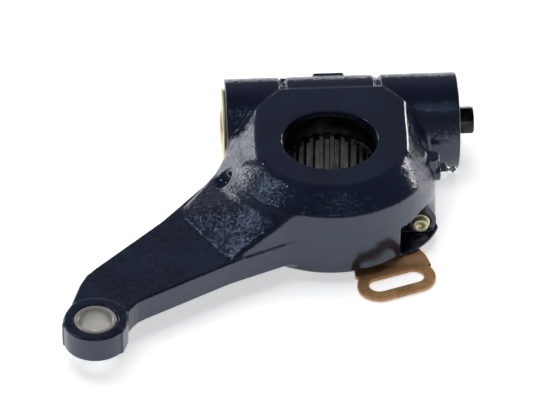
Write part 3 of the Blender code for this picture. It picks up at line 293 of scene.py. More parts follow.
def set_points(mesh, place):
    """Vertex places from an array in millimetres."""
    mesh.vertices.foreach_set("co", (place / 1000).ravel())
    mesh.update()


def link(name, data):
    """A new object in the scene round a mesh, a lamp or a camera."""
    made = bpy.data.objects.new(name, data)
    bpy.context.scene.collection.objects.link(made)
    return made


def applied(made, kind, **settings):
    """The object with one modifier worked into its mesh."""
    modifier = made.modifiers.new(kind.lower(), kind)
    for name, value in settings.items():
        setattr(modifier, name, value)
    bpy.context.view_layer.update()
    seen = made.evaluated_get(bpy.context.evaluated_depsgraph_get())
    worked = bpy.data.meshes.new_from_object(seen)
    made.modifiers.remove(modifier)
    made.data = worked
    return made


def formed(name, node, field, voxel, kept):
    """A solid's copy, wrapped in even squares, drawn onto a field's surface and thinned."""
    made = link(name, nodes[node].data.copy())
    applied(made, "WELD", merge_threshold=0.00005)
    applied(made, "REMESH", mode="VOXEL", voxel_size=voxel / 1000)
    set_points(made.data, settle(field, points_of(made.data), 3))
    applied(made, "DECIMATE", ratio=kept)
    skin = settle(field, points_of(made.data), 2)
    set_points(made.data, skin)
    made.data.shade_smooth()
    normal = slope_of(field, skin)[1]
    normal = normal / np.linalg.norm(normal, axis=1)[:, None]
    made.data.normals_split_custom_set_from_vertices(normal)
    return made, skin


def marked(made, name, values):
    """A number kept at each vertex, for the material to read."""
    mark = made.data.attributes.new(name, "FLOAT", "POINT")
    mark.data.foreach_set("value", values)


def dress(made, material):
    """One finish all over an object, in place of what it has."""
    made.data.materials.clear()
    made.data.materials.append(material)


def shade_of(text):
    """A linear colour from its sRGB hex value."""
    values = np.array([int(text[index:index + 2], 16) for index in (1, 3, 5)]) / 255
    values = np.where(values <= 0.04045, values / 12.92, ((values + 0.055) / 1.055) ** 2.4)
    return (*[float(value) for value in values], 1.0)


def fit(node, **inputs):
    """Set a node's inputs, each by a value or by the output that feeds it.

    An input goes by its name, with underlines for spaces, or by its place, as in _0, and a
    node as the value stands for its first output.
    """
    for name, value in inputs.items():
        key = int(name[1:]) if name[1:].isdigit() else name.replace("_", " ")
        if isinstance(value, bpy.types.ShaderNode):
            value = value.outputs[0]
        if isinstance(value, bpy.types.NodeSocket):
            node.id_data.links.new(value, node.inputs[key])
        else:
            node.inputs[key].default_value = value


def finish(name, roughness, metallic=0.0):
    """A new material, its tree, its shader and the places that its patterns read."""
    made = bpy.data.materials.new(name)
    made.use_nodes = True
    shader = made.node_tree.nodes["Principled BSDF"]
    fit(shader, Roughness=roughness, Metallic=metallic)
    return made, made.node_tree, shader, add(made.node_tree, "TexCoord").outputs["Object"]


def add(tree, kind, settings=None, **inputs):
    """One node with its settings and inputs.

    A colour ramp takes its stops as pairs of place and colour.
    """
    node = tree.nodes.new("ShaderNode" + kind)
    for name, value in (settings or {}).items():
        if name != "stops":
            setattr(node, name, value)
            continue
        while len(node.color_ramp.elements) < len(value):
            node.color_ramp.elements.new(0.5)
        for stop, (at, colour) in zip(node.color_ramp.elements, value):
            stop.position = at
            stop.color = shade_of(colour) if isinstance(colour, str) else colour
    fit(node, **inputs)
    return node


casting, iron = formed("body_casting", "adjuster_body", casting_field, 0.7, 0.62)
cast_skin = np.clip(1.5 - np.abs(iron_masses(iron) + SAND_DEPTH * sand_waves(iron)) / 0.2, 0, 1)
cast_skin = cast_skin * np.clip((RING_TOP - 0.6 - iron[:, 2]) / 0.5, 0, 1)
facing = np.empty(len(iron) * 3)
casting.data.vertices.foreach_get("normal", facing)
marked(casting, "cast_skin", cast_skin * (0.1 + 0.9 * np.clip(2.5 * facing[2::3], 0, 1)))
front_wall = np.clip(4 - np.abs(np.hypot(iron[:, 0], iron[:, 1]) - HUB_RADIUS), 0, 1)
marked(casting, "front_wall", front_wall * (iron[:, 1] < -18))

# Air-dried navy enamel over a cast skin: a dark body colour under one clear, slightly blue
# gloss. Where the iron is as cast its grains of 1 mm tilt the gloss and glint one by one, with
# a fine orange peel over them; where it was machined the gloss lies nearly flat.
# A thin parting line runs round the front wall, where the two halves of the mould met.
SEAM_Z = 0.0045
enamel, tree, shader, place = finish("navy enamel on cast iron", 0.15)
as_cast = add(tree, "Attribute", {"attribute_name": "cast_skin"}).outputs["Fac"]
walled = add(tree, "Attribute", {"attribute_name": "front_wall"}).outputs["Fac"]
tone = add(tree, "TexNoise", Vector=place, Scale=45, Detail=4)
colour = add(tree, "ValToRGB", {"stops": ((0.35, "#101422"), (0.7, "#151B2E"))}, Fac=tone)
peel = add(tree, "TexNoise", Vector=place, Scale=1500, Detail=1.0, Roughness=0.6)
waves = add(tree, "TexNoise", Vector=place, Scale=330)
height = add(tree, "Math", {"operation": "MULTIPLY_ADD"}, _0=waves, _1=0.4, _2=peel)
cast_height = add(tree, "Math", {"operation": "MULTIPLY"}, _0=height, _1=as_cast)
fine = add(tree, "Math", {"operation": "MULTIPLY_ADD"}, _0=peel, _1=0.02, _2=cast_height)
apart = add(tree, "SeparateXYZ", Vector=place)
offset = add(tree, "Math", {"operation": "COMPARE"}, _0=apart.outputs["Z"], _1=SEAM_Z, _2=0.0004)
seam = add(tree, "Math", {"operation": "MULTIPLY"}, _0=offset, _1=walled)
total = add(tree, "Math", {"operation": "MULTIPLY_ADD"}, _0=seam, _1=0.6, _2=fine)
bump = add(tree, "Bump", Distance=0.00012, Height=total)
grit = add(tree, "TexVoronoi", Vector=place, Scale=1200)
centred = add(tree, "VectorMath", {"operation": "SUBTRACT"}, _0=grit.outputs["Color"],
              _1=(0.5, 0.5, 0.5))
lively = add(tree, "MapRange", _0=waves, _1=0.35, _2=0.65, _3=0.08, _4=0.26)
lean = add(tree, "Math", {"operation": "MULTIPLY"}, _0=as_cast, _1=lively)
tilt = add(tree, "VectorMath", {"operation": "SCALE"}, _0=centred, Scale=lean)
tilted = add(tree, "VectorMath", {"operation": "ADD"}, _0=bump, _1=tilt)
even = add(tree, "VectorMath", {"operation": "NORMALIZE"}, _0=tilted)
fit(shader, Base_Color=colour, Normal=even, IOR=1.75, Specular_Tint=(0.7, 0.8, 1.0, 1.0))
dress(casting, enamel)
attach(casting, "housing")
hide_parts("adjuster_body")

# Clevis bush
# Hardened steel bush for the clevis pin, pressed into the lever's boss.
# Its ends and bore are ground, so the light runs round it in fine rings.

PIN_RADIUS, BUSH_RADIUS = 7.0, 9.5
BUSH_LOW, BUSH_HIGH = -12.3, 0.8
# A turned piece's own three directions, the last along its axis, for each way that it can lie.
AXES = {"X": np.array([(0, 1, 0), (0, 0, 1), (1, 0, 0)]),
        "Z": np.array([(1, 0, 0), (0, 1, 0), (0, 0, 1)]),
        "-Y": np.array([(1, 0, 0), (0, 0, 1), (0, -1, 0)])}


def eased(profile, edge, steps=4):
    """A closed profile with each corner drawn as a short curve that leaves its sides smoothly.

    The curve is the quadratic through the corner's two neighbours, each at most the edge
    length away or 45 percent of the side. Corners on the axis stay sharp.
    """
    corners = np.array(profile, float)
    before = np.roll(corners, 1, axis=0) - corners
    after = np.roll(corners, -1, axis=0) - corners
    made = []
    for corner, back, ahead in zip(corners, before, after):
        if corner[0] == 0:
            made.append(corner)
            continue
        start = back * min(edge / max(np.hypot(*back), 1e-9), 0.45)
        end = ahead * min(edge / max(np.hypot(*ahead), 1e-9), 0.45)
        for share in np.linspace(0, 1, steps):
            made.append(corner + start * (1 - share) ** 2 + end * share ** 2)
    return np.array(made)


def woven(name, grid, sharp=35, open_rows=False):
    """A closed skin from a grid of places in millimetres.

    Rows run along the profile and columns run round the axis, and both wrap unless the rows
    are open. Places that coincide, as on the axis, become one.
    """
    rows, columns = grid.shape[:2]
    row, column = np.meshgrid(np.arange(rows - open_rows), np.arange(columns), indexing="ij")
    next_row, next_column = (row + 1) % rows, (column + 1) % columns
    corner = np.stack((row * columns + column, row * columns + next_column,
                       next_row * columns + next_column, next_row * columns + column), -1)
    mesh = bpy.data.meshes.new(name)
    mesh.from_pydata((grid.reshape(-1, 3) / 1000).tolist(), [], corner.reshape(-1, 4).tolist())
    form = bmesh.new()
    form.from_mesh(mesh)
    bmesh.ops.remove_doubles(form, verts=form.verts, dist=1e-6)
    bmesh.ops.dissolve_degenerate(form, edges=form.edges, dist=1e-7)
    bmesh.ops.recalc_face_normals(form, faces=form.faces)
    form.to_mesh(mesh)
    form.free()
    mesh.shade_smooth()
    mesh.set_sharp_from_angle(angle=radians(sharp))
    return link(name, mesh)


def spun(name, profile, axis, at, columns=96, flats=None):
    """A turned piece: the closed profile of radius and height carried round an axis.

    Where flats are given, as the number of sides, their half width and the heights between
    which they were cut, the radius there is the smaller of the profile's and the flat's.
    """
    profile = np.asarray(profile, float)
    angle = np.arange(columns) * 2 * pi / columns
    radius = np.repeat(profile[:, :1], columns, axis=1)
    height = np.repeat(profile[:, 1:], columns, axis=1)
    if flats:
        sides, half, low, high = flats
        turn = (angle + pi / sides) % (2 * pi / sides) - pi / sides
        cut = (height >= low) & (height <= high)
        radius = np.where(cut, np.minimum(radius, half / np.cos(turn)), radius)
    local = np.stack((radius * np.cos(angle), radius * np.sin(angle), height), -1)
    made = woven(name, local @ AXES[axis] + np.array(at))
    local = (points_of(made.data) - np.array(at)) @ AXES[axis].T
    rings = made.data.attributes.new("rings", "FLOAT_VECTOR", "POINT")
    marks = np.stack((np.hypot(local[:, 0], local[:, 1]), local[:, 2], 0 * local[:, 2]), -1)
    rings.data.foreach_set("vector", marks.ravel())
    return made


# A profile's places are pairs of radius and height along the axis.
bush = [(PIN_RADIUS, BUSH_LOW + 1), (PIN_RADIUS + 1, BUSH_LOW), (BUSH_RADIUS - 0.4, BUSH_LOW),
        (BUSH_RADIUS, BUSH_LOW + 0.5), (BUSH_RADIUS, BUSH_HIGH - 0.5),
        (BUSH_RADIUS - 0.4, BUSH_HIGH), (PIN_RADIUS + 1, BUSH_HIGH), (PIN_RADIUS, BUSH_HIGH - 1)]
bush = spun("clevis_bush_ground", eased(bush, 0.3), "Z", (*CLEVIS, 0), 128)


def turned_metal(name, dark, light, roughness, pitch, depth, metallic=1.0):
    """A turned metal: rings from the piece's own marks, and a slow change of tone."""
    made, tree, shader, place = finish(name, roughness, metallic)
    rings = add(tree, "Attribute", {"attribute_name": "rings"}).outputs["Vector"]
    lines = add(tree, "TexNoise", Vector=rings, Scale=1 / pitch)
    slow = add(tree, "TexNoise", Vector=place, Scale=120, Detail=3)
    both = add(tree, "Math", {"operation": "MULTIPLY_ADD"}, _0=lines, _1=0.4, _2=slow)
    colour = add(tree, "ValToRGB", {"stops": ((0.45, dark), (0.95, light))}, Fac=both)
    wear = add(tree, "MapRange", _0=slow, _1=0.3, _2=0.7, _3=roughness - 0.05, _4=roughness + 0.08)
    bump = add(tree, "Bump", Distance=depth / 1000, Height=lines)
    fit(shader, Base_Color=colour, Roughness=wear, Normal=bump)
    return made


# Ground bearing steel: a pale satin metal with a slight warm tone, and fine grinding rings,
# drawn 0.15 mm apart so that they show.
ground = turned_metal("ground bearing steel", "#A5A29A", "#CFCDC7", 0.34, 0.15, 0.004, 0.7)
dress(bush, ground)
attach(bush, "housing")
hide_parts("clevis_bush")

# Worm wheel
# One steel wheel: 21 helical teeth outside for the worm, and inside the 26-tooth spline that
# the camshaft slides into, broached straight through below a smooth bored lead-in.

SPLINE_TEETH = 26
WHEEL_TEETH = 21
SPLINE_MINOR, SPLINE_MAJOR = 18.75, 20.25
LEAD_IN, LEAD_FOOT = 21.0, 10.0
WHEEL_BOTTOM, WHEEL_TOP = -16.8, 19.0
HUB_LOW_RADIUS, HUB_TOP_RADIUS = 23.0, 26.0
GROOVE_RADIUS, GROOVE_LOW, GROOVE_TOP = 23.7, 12.6, 15.4
GEAR_HALF_WIDTH = 9.0
GEAR_ROOT, GEAR_TIP = 27.9, 34.3
GEAR_TWIST = 0.0816
# Half the gap between two gear teeth, in pitches.
GAP_AT_ROOT, GAP_AT_TIP = 0.27 * 0.85, 0.46


def worm_wheel():
    """The wheel's skin: columns are places round each spline pitch, rows follow the section.

    The spline's radius is the minor one across a land, rises along its side to the major one
    and stays there in the groove. The gear's radius does the same outside, turned with height.
    """
    half = np.array([0, 0.1, 0.2, 0.225, 0.238, 0.25, 0.28, 0.3065, 0.32, 0.4])
    share = np.concatenate((-half[:0:-1], half, [0.5]))
    tooth = np.arange(SPLINE_TEETH)[:, None]
    angle = (pi / 2 + 2 * pi * (tooth + share[None, :]) / SPLINE_TEETH).ravel()
    land = np.tile(np.abs(share), SPLINE_TEETH)
    spline = np.interp(land, [0.225, 0.245, 0.3, 0.32],
                       [SPLINE_MINOR, SPLINE_MINOR + 0.1, SPLINE_MAJOR - 0.1, SPLINE_MAJOR])
    rows = [(np.maximum(spline, SPLINE_MINOR + drop), WHEEL_BOTTOM + 1.5 - drop)
            for drop in (1.5, 0.9, 0.3)]
    rows += [(spline, height) for height in np.linspace(WHEEL_BOTTOM + 1.9, LEAD_FOOT - 1.4, 8)]
    cone = LEAD_IN - 1.3
    for step in np.linspace(0, 1, 7):
        rows.append((np.maximum(spline, cone - 1.95 + (LEAD_IN - cone + 1.95) * step),
                     LEAD_FOOT - 1.2 + 1.2 * step))
    plain = [(LEAD_IN, LEAD_FOOT + 0.4), (LEAD_IN, WHEEL_TOP - 0.5),
             (LEAD_IN + 0.1, WHEEL_TOP - 0.2), (LEAD_IN + 0.5, WHEEL_TOP),
             (HUB_TOP_RADIUS - 0.6, WHEEL_TOP), (HUB_TOP_RADIUS - 0.1, WHEEL_TOP - 0.2),
             (HUB_TOP_RADIUS, WHEEL_TOP - 0.6), (HUB_TOP_RADIUS, GROOVE_TOP),
             (GROOVE_RADIUS, GROOVE_TOP), (GROOVE_RADIUS, GROOVE_LOW),
             (HUB_TOP_RADIUS, GROOVE_LOW), (HUB_TOP_RADIUS, GEAR_HALF_WIDTH)]
    rows += [(np.full(len(angle), radius), height) for radius, height in plain]
    for height in np.linspace(GEAR_HALF_WIDTH, -GEAR_HALF_WIDTH, 13):
        turn = angle - pi / 2 - GEAR_TWIST * height / (2 * GEAR_HALF_WIDTH)
        space = np.abs((turn * WHEEL_TEETH / (2 * pi) + 0.5) % 1 - 0.5)
        gear = np.interp(space, [GAP_AT_ROOT, GAP_AT_TIP], [GEAR_ROOT, GEAR_TIP])
        rows.append((np.minimum(gear, GEAR_TIP - 0.4 * (abs(height) == GEAR_HALF_WIDTH)), height))
    low = [(HUB_LOW_RADIUS, -GEAR_HALF_WIDTH), (HUB_LOW_RADIUS, WHEEL_BOTTOM + 0.4),
           (HUB_LOW_RADIUS - 0.4, WHEEL_BOTTOM)]
    rows += [(np.full(len(angle), radius), height) for radius, height in low]
    radius = np.array([row[0] for row in rows])
    height = np.array([row[1] for row in rows])[:, None] + 0 * radius
    grid = np.stack((radius * np.cos(angle), radius * np.sin(angle), height), -1)
    return woven("wheel_skin", grid, 28)


wheel = worm_wheel()

# Broached steel under a film of old oil: a dark warm grey, with scores along the broach's pull
# and small glints where the oil lies thick.
oiled, tree, shader, place = finish("oiled broached steel", 0.34, 1.0)
along = add(tree, "Mapping", Vector=place, Scale=(1, 1, 0.05))
scores = add(tree, "TexNoise", Vector=along, Scale=2200)
film = add(tree, "TexNoise", Vector=place, Scale=160, Detail=4)
both = add(tree, "Math", {"operation": "MULTIPLY_ADD"}, _0=scores, _1=0.35, _2=film)
colour = add(tree, "ValToRGB", {"stops": ((0.45, "#2B2B2A"), (0.75, "#4E4E4C"), (0.95, "#6C6C6A"))},
             Fac=both)
# Above the spline the colour is darkened to about a third, over the bored lead-in: painted shade
# inside the bore.
level = add(tree, "SeparateXYZ", Vector=place)
painted_bore_shade = add(tree, "MapRange", _0=level.outputs["Z"], _1=0.0085, _2=0.0105, _3=1.0, _4=0.35)
toned = add(tree, "VectorMath", {"operation": "SCALE"}, _0=colour, Scale=painted_bore_shade)
gloss = add(tree, "MapRange", _0=film, _1=0.35, _2=0.65, _3=0.24, _4=0.44)
bump = add(tree, "Bump", Distance=0.00003, Height=both)
fit(shader, Base_Color=toned, Roughness=gloss, Normal=bump)
dress(wheel, oiled)
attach(wheel, "wheel")
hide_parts("worm_wheel")

# Wheel seal and thrust washer
# A nitrile ring in the wheel's upper groove keeps the grease in, and a bronze washer
# under the teeth takes the wheel's weight. Both are bought parts, dropped in loose.

# Moulded nitrile: black, dull, with a faint bloom of dust.
nitrile, tree, shader, place = finish("moulded nitrile", 0.62)
bloom = add(tree, "TexNoise", Vector=place, Scale=260, Detail=4)
colour = add(tree, "ValToRGB", {"stops": ((0.35, "#0E0E0F"), (0.75, "#232324"))}, Fac=bloom)
bump = add(tree, "Bump", Strength=0.4, Distance=0.00002, Height=bloom)
fit(shader, Base_Color=colour, Normal=bump)


def mottled_metal(name, dark, light, roughness, size, depth):
    """A metal with a cloudy tone whose clouds have the given size in millimetres."""
    made, tree, shader, place = finish(name, roughness, 1.0)
    cloud = add(tree, "TexNoise", Vector=place, Scale=1000 / size, Detail=5, Roughness=0.6)
    colour = add(tree, "ValToRGB", {"stops": ((0.32, dark), (0.68, light))}, Fac=cloud)
    wear = add(tree, "MapRange", _0=cloud, _1=0.3, _2=0.7, _3=roughness - 0.06, _4=roughness + 0.08)
    grain = add(tree, "TexNoise", Vector=place, Scale=1400)
    bump = add(tree, "Bump", Distance=depth / 1000, Height=grain)
    fit(shader, Base_Color=colour, Roughness=wear, Normal=bump)
    return made


cast_bronze = mottled_metal("turned bearing bronze", "#7E5A31", "#B58A52", 0.34, 5, 0.01)
dress(nodes["wheel_seal"], nitrile)
dress(nodes["thrust_washer"], cast_bronze)

# Worm shaft
# Hardened shaft with one right-hand thread, a plain stem for the clutch and a hexagon at the
# right for a spanner. It is blackened all over, and the hexagon has its ends chamfered.

WORM_ROOT, WORM_TIP = 7.0, 13.4
WORM_LEAD = 3.0 * pi
CREST_HALF = 1.0257
THREAD_HALF = 1.3 * WORM_LEAD
FLANK = tan(radians(20))
# Each step of the shaft: where it starts and its radius.
SHAFT_SIZES = ((-24.5, 5.0), (-17.0, 7.0), (17.0, 4.6), (46.6, 7.2), (61.2, 6.95))
HEX_HALF, HEX_CORNER, HEX_END = 6.0, 6.86, 69.7


def worm_thread_radius(height, angle):
    """Radius over the worm: the crest near the helix, falling along its flanks to the root.

    The helix passes the wheel, at minus Y, half way along, and fades out at both ends.
    """
    turn = (angle - pi) / (2 * pi)
    nearest = turn + np.round(height / WORM_LEAD - turn)
    centre = WORM_LEAD * nearest
    aside = np.abs(height - centre)
    full = WORM_TIP - np.maximum(aside - CREST_HALF, 0) / FLANK
    fade = np.clip((THREAD_HALF + 1.0 - np.abs(centre)) / 1.6, 0, 1)
    return WORM_ROOT + np.clip(full - WORM_ROOT, 0, None) * fade


def worm_shaft():
    """The shaft's skin, from its left end to the hexagon's chamfered right end."""
    columns = 72
    angle = np.arange(columns) * 2 * pi / columns
    rows = []

    def add_row(height, radius):
        rows.append((height, np.broadcast_to(radius, (columns,))))

    add_row(SHAFT_SIZES[0][0], 0.0)
    for (low, radius), (high, _) in zip(SHAFT_SIZES, SHAFT_SIZES[1:] + ((HEX_END, 0.0),)):
        if radius == WORM_ROOT:
            for height in np.arange(low, high + 0.01, 0.2):
                add_row(height, worm_thread_radius(height, angle))
            continue
        if radius == SHAFT_SIZES[-1][1]:
            break
        for height, inset in ((low, 0.4), (low + 0.4, 0), (high - 0.4, 0), (high, 0.4)):
            add_row(height, radius - inset)
    turn = (angle + pi / 6) % (pi / 3) - pi / 6
    hexagon = HEX_HALF / np.cos(turn)
    for height in np.concatenate(([SHAFT_SIZES[-1][0]], np.linspace(HEX_END - 2.4, HEX_END, 12))):
        chamfer = HEX_HALF - 0.1 + (HEX_END - height) * 0.95
        add_row(height, np.minimum(hexagon, np.minimum(chamfer, HEX_CORNER)))
    add_row(HEX_END, HEX_HALF - 0.6)
    add_row(HEX_END - 0.05, 0.0)
    height = np.array([row[0] for row in rows])[:, None] + np.zeros(columns)
    radius = np.array([row[1] for row in rows])
    local = np.stack((radius * np.cos(angle), radius * np.sin(angle), height), -1)
    # Both ends close to a point on the axis, so the grid stays open along the shaft.
    return woven("worm_and_hexagon", local @ AXES["X"] + (0, WORM_Y, 0), 30, open_rows=True)


shaft = worm_shaft()

# Blackened steel: a hot black oxide that is soft brown-black on the flats, a little worn and
# paler where a spanner has been, under a thin oil.
blackened, tree, shader, place = finish("hot blackened steel", 0.36, 1.0)
cloud = add(tree, "TexNoise", Vector=place, Scale=240, Detail=5, Roughness=0.6)
colour = add(tree, "ValToRGB", {"stops": ((0.35, "#262423"), (0.62, "#3C3A38"), (0.8, "#5A5855"))},
             Fac=cloud)
wear = add(tree, "MapRange", _0=cloud, _1=0.3, _2=0.7, _3=0.28, _4=0.46)
grain = add(tree, "TexNoise", Vector=place, Scale=1200)
bump = add(tree, "Bump", Distance=0.00002, Height=grain)
fit(shader, Base_Color=colour, Roughness=wear, Normal=bump)
dress(shaft, blackened)
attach(shaft, "worm")
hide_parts("worm_shaft")

# Thrust bearing, spring seat and power spring
# The strong coil at the left of the tube holds the worm against its wheel through a seat
# and an axial bearing. The spring is cold-wound from hard-drawn wire and oiled.

drawn_wire = mottled_metal("hard-drawn spring wire", "#34373B", "#6A6E73", 0.32, 8, 0.01)
turned_steel = mottled_metal("oiled turned steel", "#5C5952", "#8D8A81", 0.34, 6, 0.01)
race_steel = mottled_metal("ground race steel", "#A5A39C", "#CFCDC7", 0.26, 10, 0.004)
dress(nodes["thrust_bearing"], race_steel)
dress(nodes["spring_seat"], turned_steel)


def wound(node, axis, wire, turns):
    """Round wire wound from end to end of a node's box.

    Half a turn at each end lies flat, and the wire's cut ends close to a point. The middle
    line of the wire stands at the box's half width less half the wire.
    """
    low, high = (np.array(corner) * 1000 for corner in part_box(node))
    middle = (low + high) / 2
    side, rise = (axis + 1) % 3, (axis + 2) % 3
    winding = np.concatenate(([0], np.linspace(0, turns, turns * 36), [turns]))[:, None]
    thickness = np.full(winding.shape, wire / 2)
    thickness[[0, -1]] = 0
    share = np.clip((winding - 0.5) / (turns - 1), 0, 1)
    ring = np.linspace(0, 2 * pi, 12, endpoint=False)[None, :]
    reach = (high[side] - low[side] - wire) / 2 + thickness * np.cos(ring)
    grid = np.zeros((len(winding), 12, 3))
    grid[..., side] = middle[side] + reach * np.cos(2 * pi * winding)
    grid[..., rise] = middle[rise] + reach * np.sin(2 * pi * winding)
    grid[..., axis] = (low[axis] + wire / 2 + share * (high[axis] - low[axis] - wire)
                       + thickness * np.sin(ring))
    made = woven(node + "_wire", grid, 50, open_rows=True)
    dress(made, drawn_wire)
    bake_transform(made)
    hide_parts(node)


wound("power_spring", 0, 3.0, 4)

# Clutch ring, one-way spring and rack gear
# Three pieces on the shaft's stem: the rack turns the gear, and the coil round both hubs
# grips one way only, so the worm takes up wear a little at each stroke.

dress(nodes["clutch_ring"], turned_steel)
dress(nodes["one_way_spring"], drawn_wire)
dress(nodes["rack_gear"], turned_steel)

# Rack and its spring
# Milled bar with teeth under the gear and a lug in the control disc's notch; a light
# coil behind the plug brings it back.

milled_steel = mottled_metal("milled rack steel", "#66645E", "#94928B", 0.36, 4, 0.012)
dress(nodes["rack"], milled_steel)
wound("rack_spring", 1, 0.9, 5)

# End cap at the tube's left
# Turned cap that closes the worm tube and holds the power spring, screwed in by its hexagon
# socket. It is plated with yellow zinc, and its groove carries a nitrile ring.

CAP_INNER, CAP_FACE, CAP_OUT = -41.7, -46.3, -47.5
CAP_PLUG, CAP_GROOVE, CAP_FLANGE = 16.3, 14.2, 18.2
CAP_NOSE, SOCKET = 7.5, 2.77

cap = [(0, CAP_INNER), (CAP_PLUG, CAP_INNER), (CAP_PLUG, -42.8), (CAP_GROOVE, -42.8),
       (CAP_GROOVE, -45.2), (CAP_PLUG, -45.2), (CAP_PLUG, CAP_FACE), (CAP_FLANGE, CAP_FACE),
       (CAP_FLANGE, CAP_OUT), (11.5, CAP_OUT), (11, CAP_OUT + 0.5), (CAP_NOSE + 0.6, CAP_OUT + 0.5),
       (CAP_NOSE, CAP_OUT - 1), (SOCKET + 0.4, CAP_OUT - 1)]
socket_rows = [(SOCKET, CAP_OUT - 0.6), (SOCKET, CAP_OUT + 4.2), (0, CAP_OUT + 4.9)]
cap = np.concatenate((eased(cap, 0.5), socket_rows))
cap = spun("end_cap_turned", cap, "X", (0, WORM_Y, 0))

# Yellow zinc plate: bright and satin, pale straw with a slight drift to green and rose where
# the chromate is thicker or thinner, over fine turning rings.
straw, tree, shader, place = finish("yellow zinc plate", 0.34, 0.6)
rings = add(tree, "Attribute", {"attribute_name": "rings"}).outputs["Vector"]
drift = add(tree, "TexNoise", Vector=place, Scale=180, Detail=3)
lines = add(tree, "TexNoise", Vector=rings, Scale=4000)
colour = add(tree, "ValToRGB", {"stops": ((0.3, "#D2D3A6"), (0.5, "#EFE4BC"), (0.72, "#EBD6B4"))},
             Fac=drift)
bump = add(tree, "Bump", Distance=0.000006, Height=lines)
fit(shader, Base_Color=colour, Normal=bump)
dress(cap, straw)
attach(cap, "housing")
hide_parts("end_cap")
dress(nodes["end_cap_seal"], nitrile)

# Hex bearing and its lip seal
# A blackened steel ring at the tube's right guides the shaft, and a nitrile lip seal lies
# in its counterbore round the hexagon's neck.

bearing = [(10, TUBE_RIGHT), (13.7, TUBE_RIGHT), (13.7, 46.9), (7.6, 46.9), (7.6, 58), (10, 58)]
bearing = spun("hex_bearing_turned", eased(bearing, 0.5), "X", (0, WORM_Y, 0))
dress(bearing, blackened)
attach(bearing, "housing")
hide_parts("hex_bearing")
lip = [(7.5, 58.3), (9.7, 58.3), (9.7, 60.8), (8.9, 60.8), (8.5, 59.8), (8.1, 59.9), (7.7, 60.6),
       (7.5, 60.2)]
lip = spun("hex_seal_lip", eased(lip, 0.25), "X", (0, WORM_Y, 0))
dress(lip, nitrile)
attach(lip, "housing")
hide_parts("hex_seal")

# Rack plug
# A turned plug, plated with yellow zinc, closes the rack's tunnel at the front.
# Its round nose stands clear of the pocket and has a small centre.

PLUG_RADIUS, PLUG_NOSE = 4.6, 3.7
PLUG_BACK, PLUG_STEP, PLUG_TIP = -TUNNEL_FRONT - 4.0, -TUNNEL_FRONT + 0.6, -TUNNEL_FRONT + 3.2
plug = [(0, PLUG_BACK), (PLUG_RADIUS, PLUG_BACK), (PLUG_RADIUS, PLUG_STEP),
        (PLUG_NOSE, PLUG_STEP), (PLUG_NOSE, PLUG_TIP), (1.7, PLUG_TIP), (1.2, PLUG_TIP - 0.7),
        (0, PLUG_TIP - 0.9)]
plug = spun("rack_plug_turned", eased(plug, 0.9, 6), "-Y", (RACK_X, 0, TUNNEL_Z), 72)
dress(plug, straw)
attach(plug, "housing")
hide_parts("rack_plug")

# Control disc and control arm
# The arm is pressed from 2 mm sheet with a joggle before its slotted pad, and plated in a
# bronze-toned zinc. Four rivets join it to the disc's collar, and the disc moves the rack.

ARM_TOP, ARM_THICKNESS = -17.6, 2.2
ARM_HOLE, ARM_HUB = 22.0, 27.3
SLOT_CENTRE, SLOT_ANGLE = (27.4, -49.7), radians(19.6)
SLOT_HALF, SLOT_REACH = 4.75, 8.5
PAD_RADIUS = 10.0
JOGGLE, JOGGLE_Y = 2.4, -35.0
RIVET_HOLE = 1.6
RIVETS = [on_circle(25.4, angle) for angle in (20, 110, 200, 250)]
arm_neck = [(26.5, -6.6), (-6.6, -26.5), (8.6, -38), (9, -46), (19.4, -52.5), (35.4, -46.8),
            (44, -39.4)]


def arm_field(place):
    """Distance to the pressed arm: its plan, rounded at the edges, and stepped down at the bend."""
    x, y, z = place.T
    bend = np.clip((JOGGLE_Y - y) / 5, 0, 1)
    height = z + JOGGLE * bend * bend * (3 - 2 * bend)
    dx, dy = x - SLOT_CENTRE[0], y - SLOT_CENTRE[1]
    along = dx * cos(SLOT_ANGLE) + dy * sin(SLOT_ANGLE)
    aside = dy * cos(SLOT_ANGLE) - dx * sin(SLOT_ANGLE)
    slot_line = np.hypot(np.maximum(np.abs(along) - SLOT_REACH, 0), aside)
    plan = fuse(np.hypot(x, y) - ARM_HUB, outline_distance(x, y, arm_neck), 3)
    plan = fuse(plan, slot_line - PAD_RADIUS, 2)
    plan = np.maximum(plan, np.maximum(ARM_HOLE - np.hypot(x, y), SLOT_HALF - slot_line))
    for hole_x, hole_y in RIVETS:
        plan = np.maximum(plan, RIVET_HOLE - np.hypot(x - hole_x, y - hole_y))
    middle = ARM_TOP - ARM_THICKNESS / 2
    return rounded(plan, np.abs(height - middle) - ARM_THICKNESS / 2, 0.45)


arm, _ = formed("control_arm_pressed", "control_arm", arm_field, 0.55, 0.5)

# Bronze-toned zinc chromate on pressed sheet: a warm tan that is half metal and half dull
# film, clouded in patches of about 6 mm, with the fine drag marks of the press.
tan_zinc, tree, shader, place = finish("bronze-toned zinc on pressed sheet", 0.45, 0.45)
cloud = add(tree, "TexNoise", Vector=place, Scale=170, Detail=5, Roughness=0.6)
along = add(tree, "Mapping", Vector=place, Scale=(0.15, 1, 1))
drag = add(tree, "TexNoise", Vector=along, Scale=1500)
both = add(tree, "Math", {"operation": "MULTIPLY_ADD"}, _0=drag, _1=0.3, _2=cloud)
colour = add(tree, "ValToRGB", {"stops": ((0.45, "#A67C52"), (0.65, "#C29465"), (0.9, "#CFA57A"))},
             Fac=both)
wear = add(tree, "MapRange", _0=cloud, _1=0.3, _2=0.7, _3=0.4, _4=0.52)
bump = add(tree, "Bump", Distance=0.000008, Height=drag)
fit(shader, Base_Color=colour, Roughness=wear, Normal=bump)
dress(arm, tan_zinc)
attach(arm, "control_unit")
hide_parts("control_arm")
dress(nodes["control_disc"], turned_steel)

# Arm rivets
# Four button-headed rivets hold the arm to the collar; their heads are rolled under the arm
# and plated in yellow zinc.

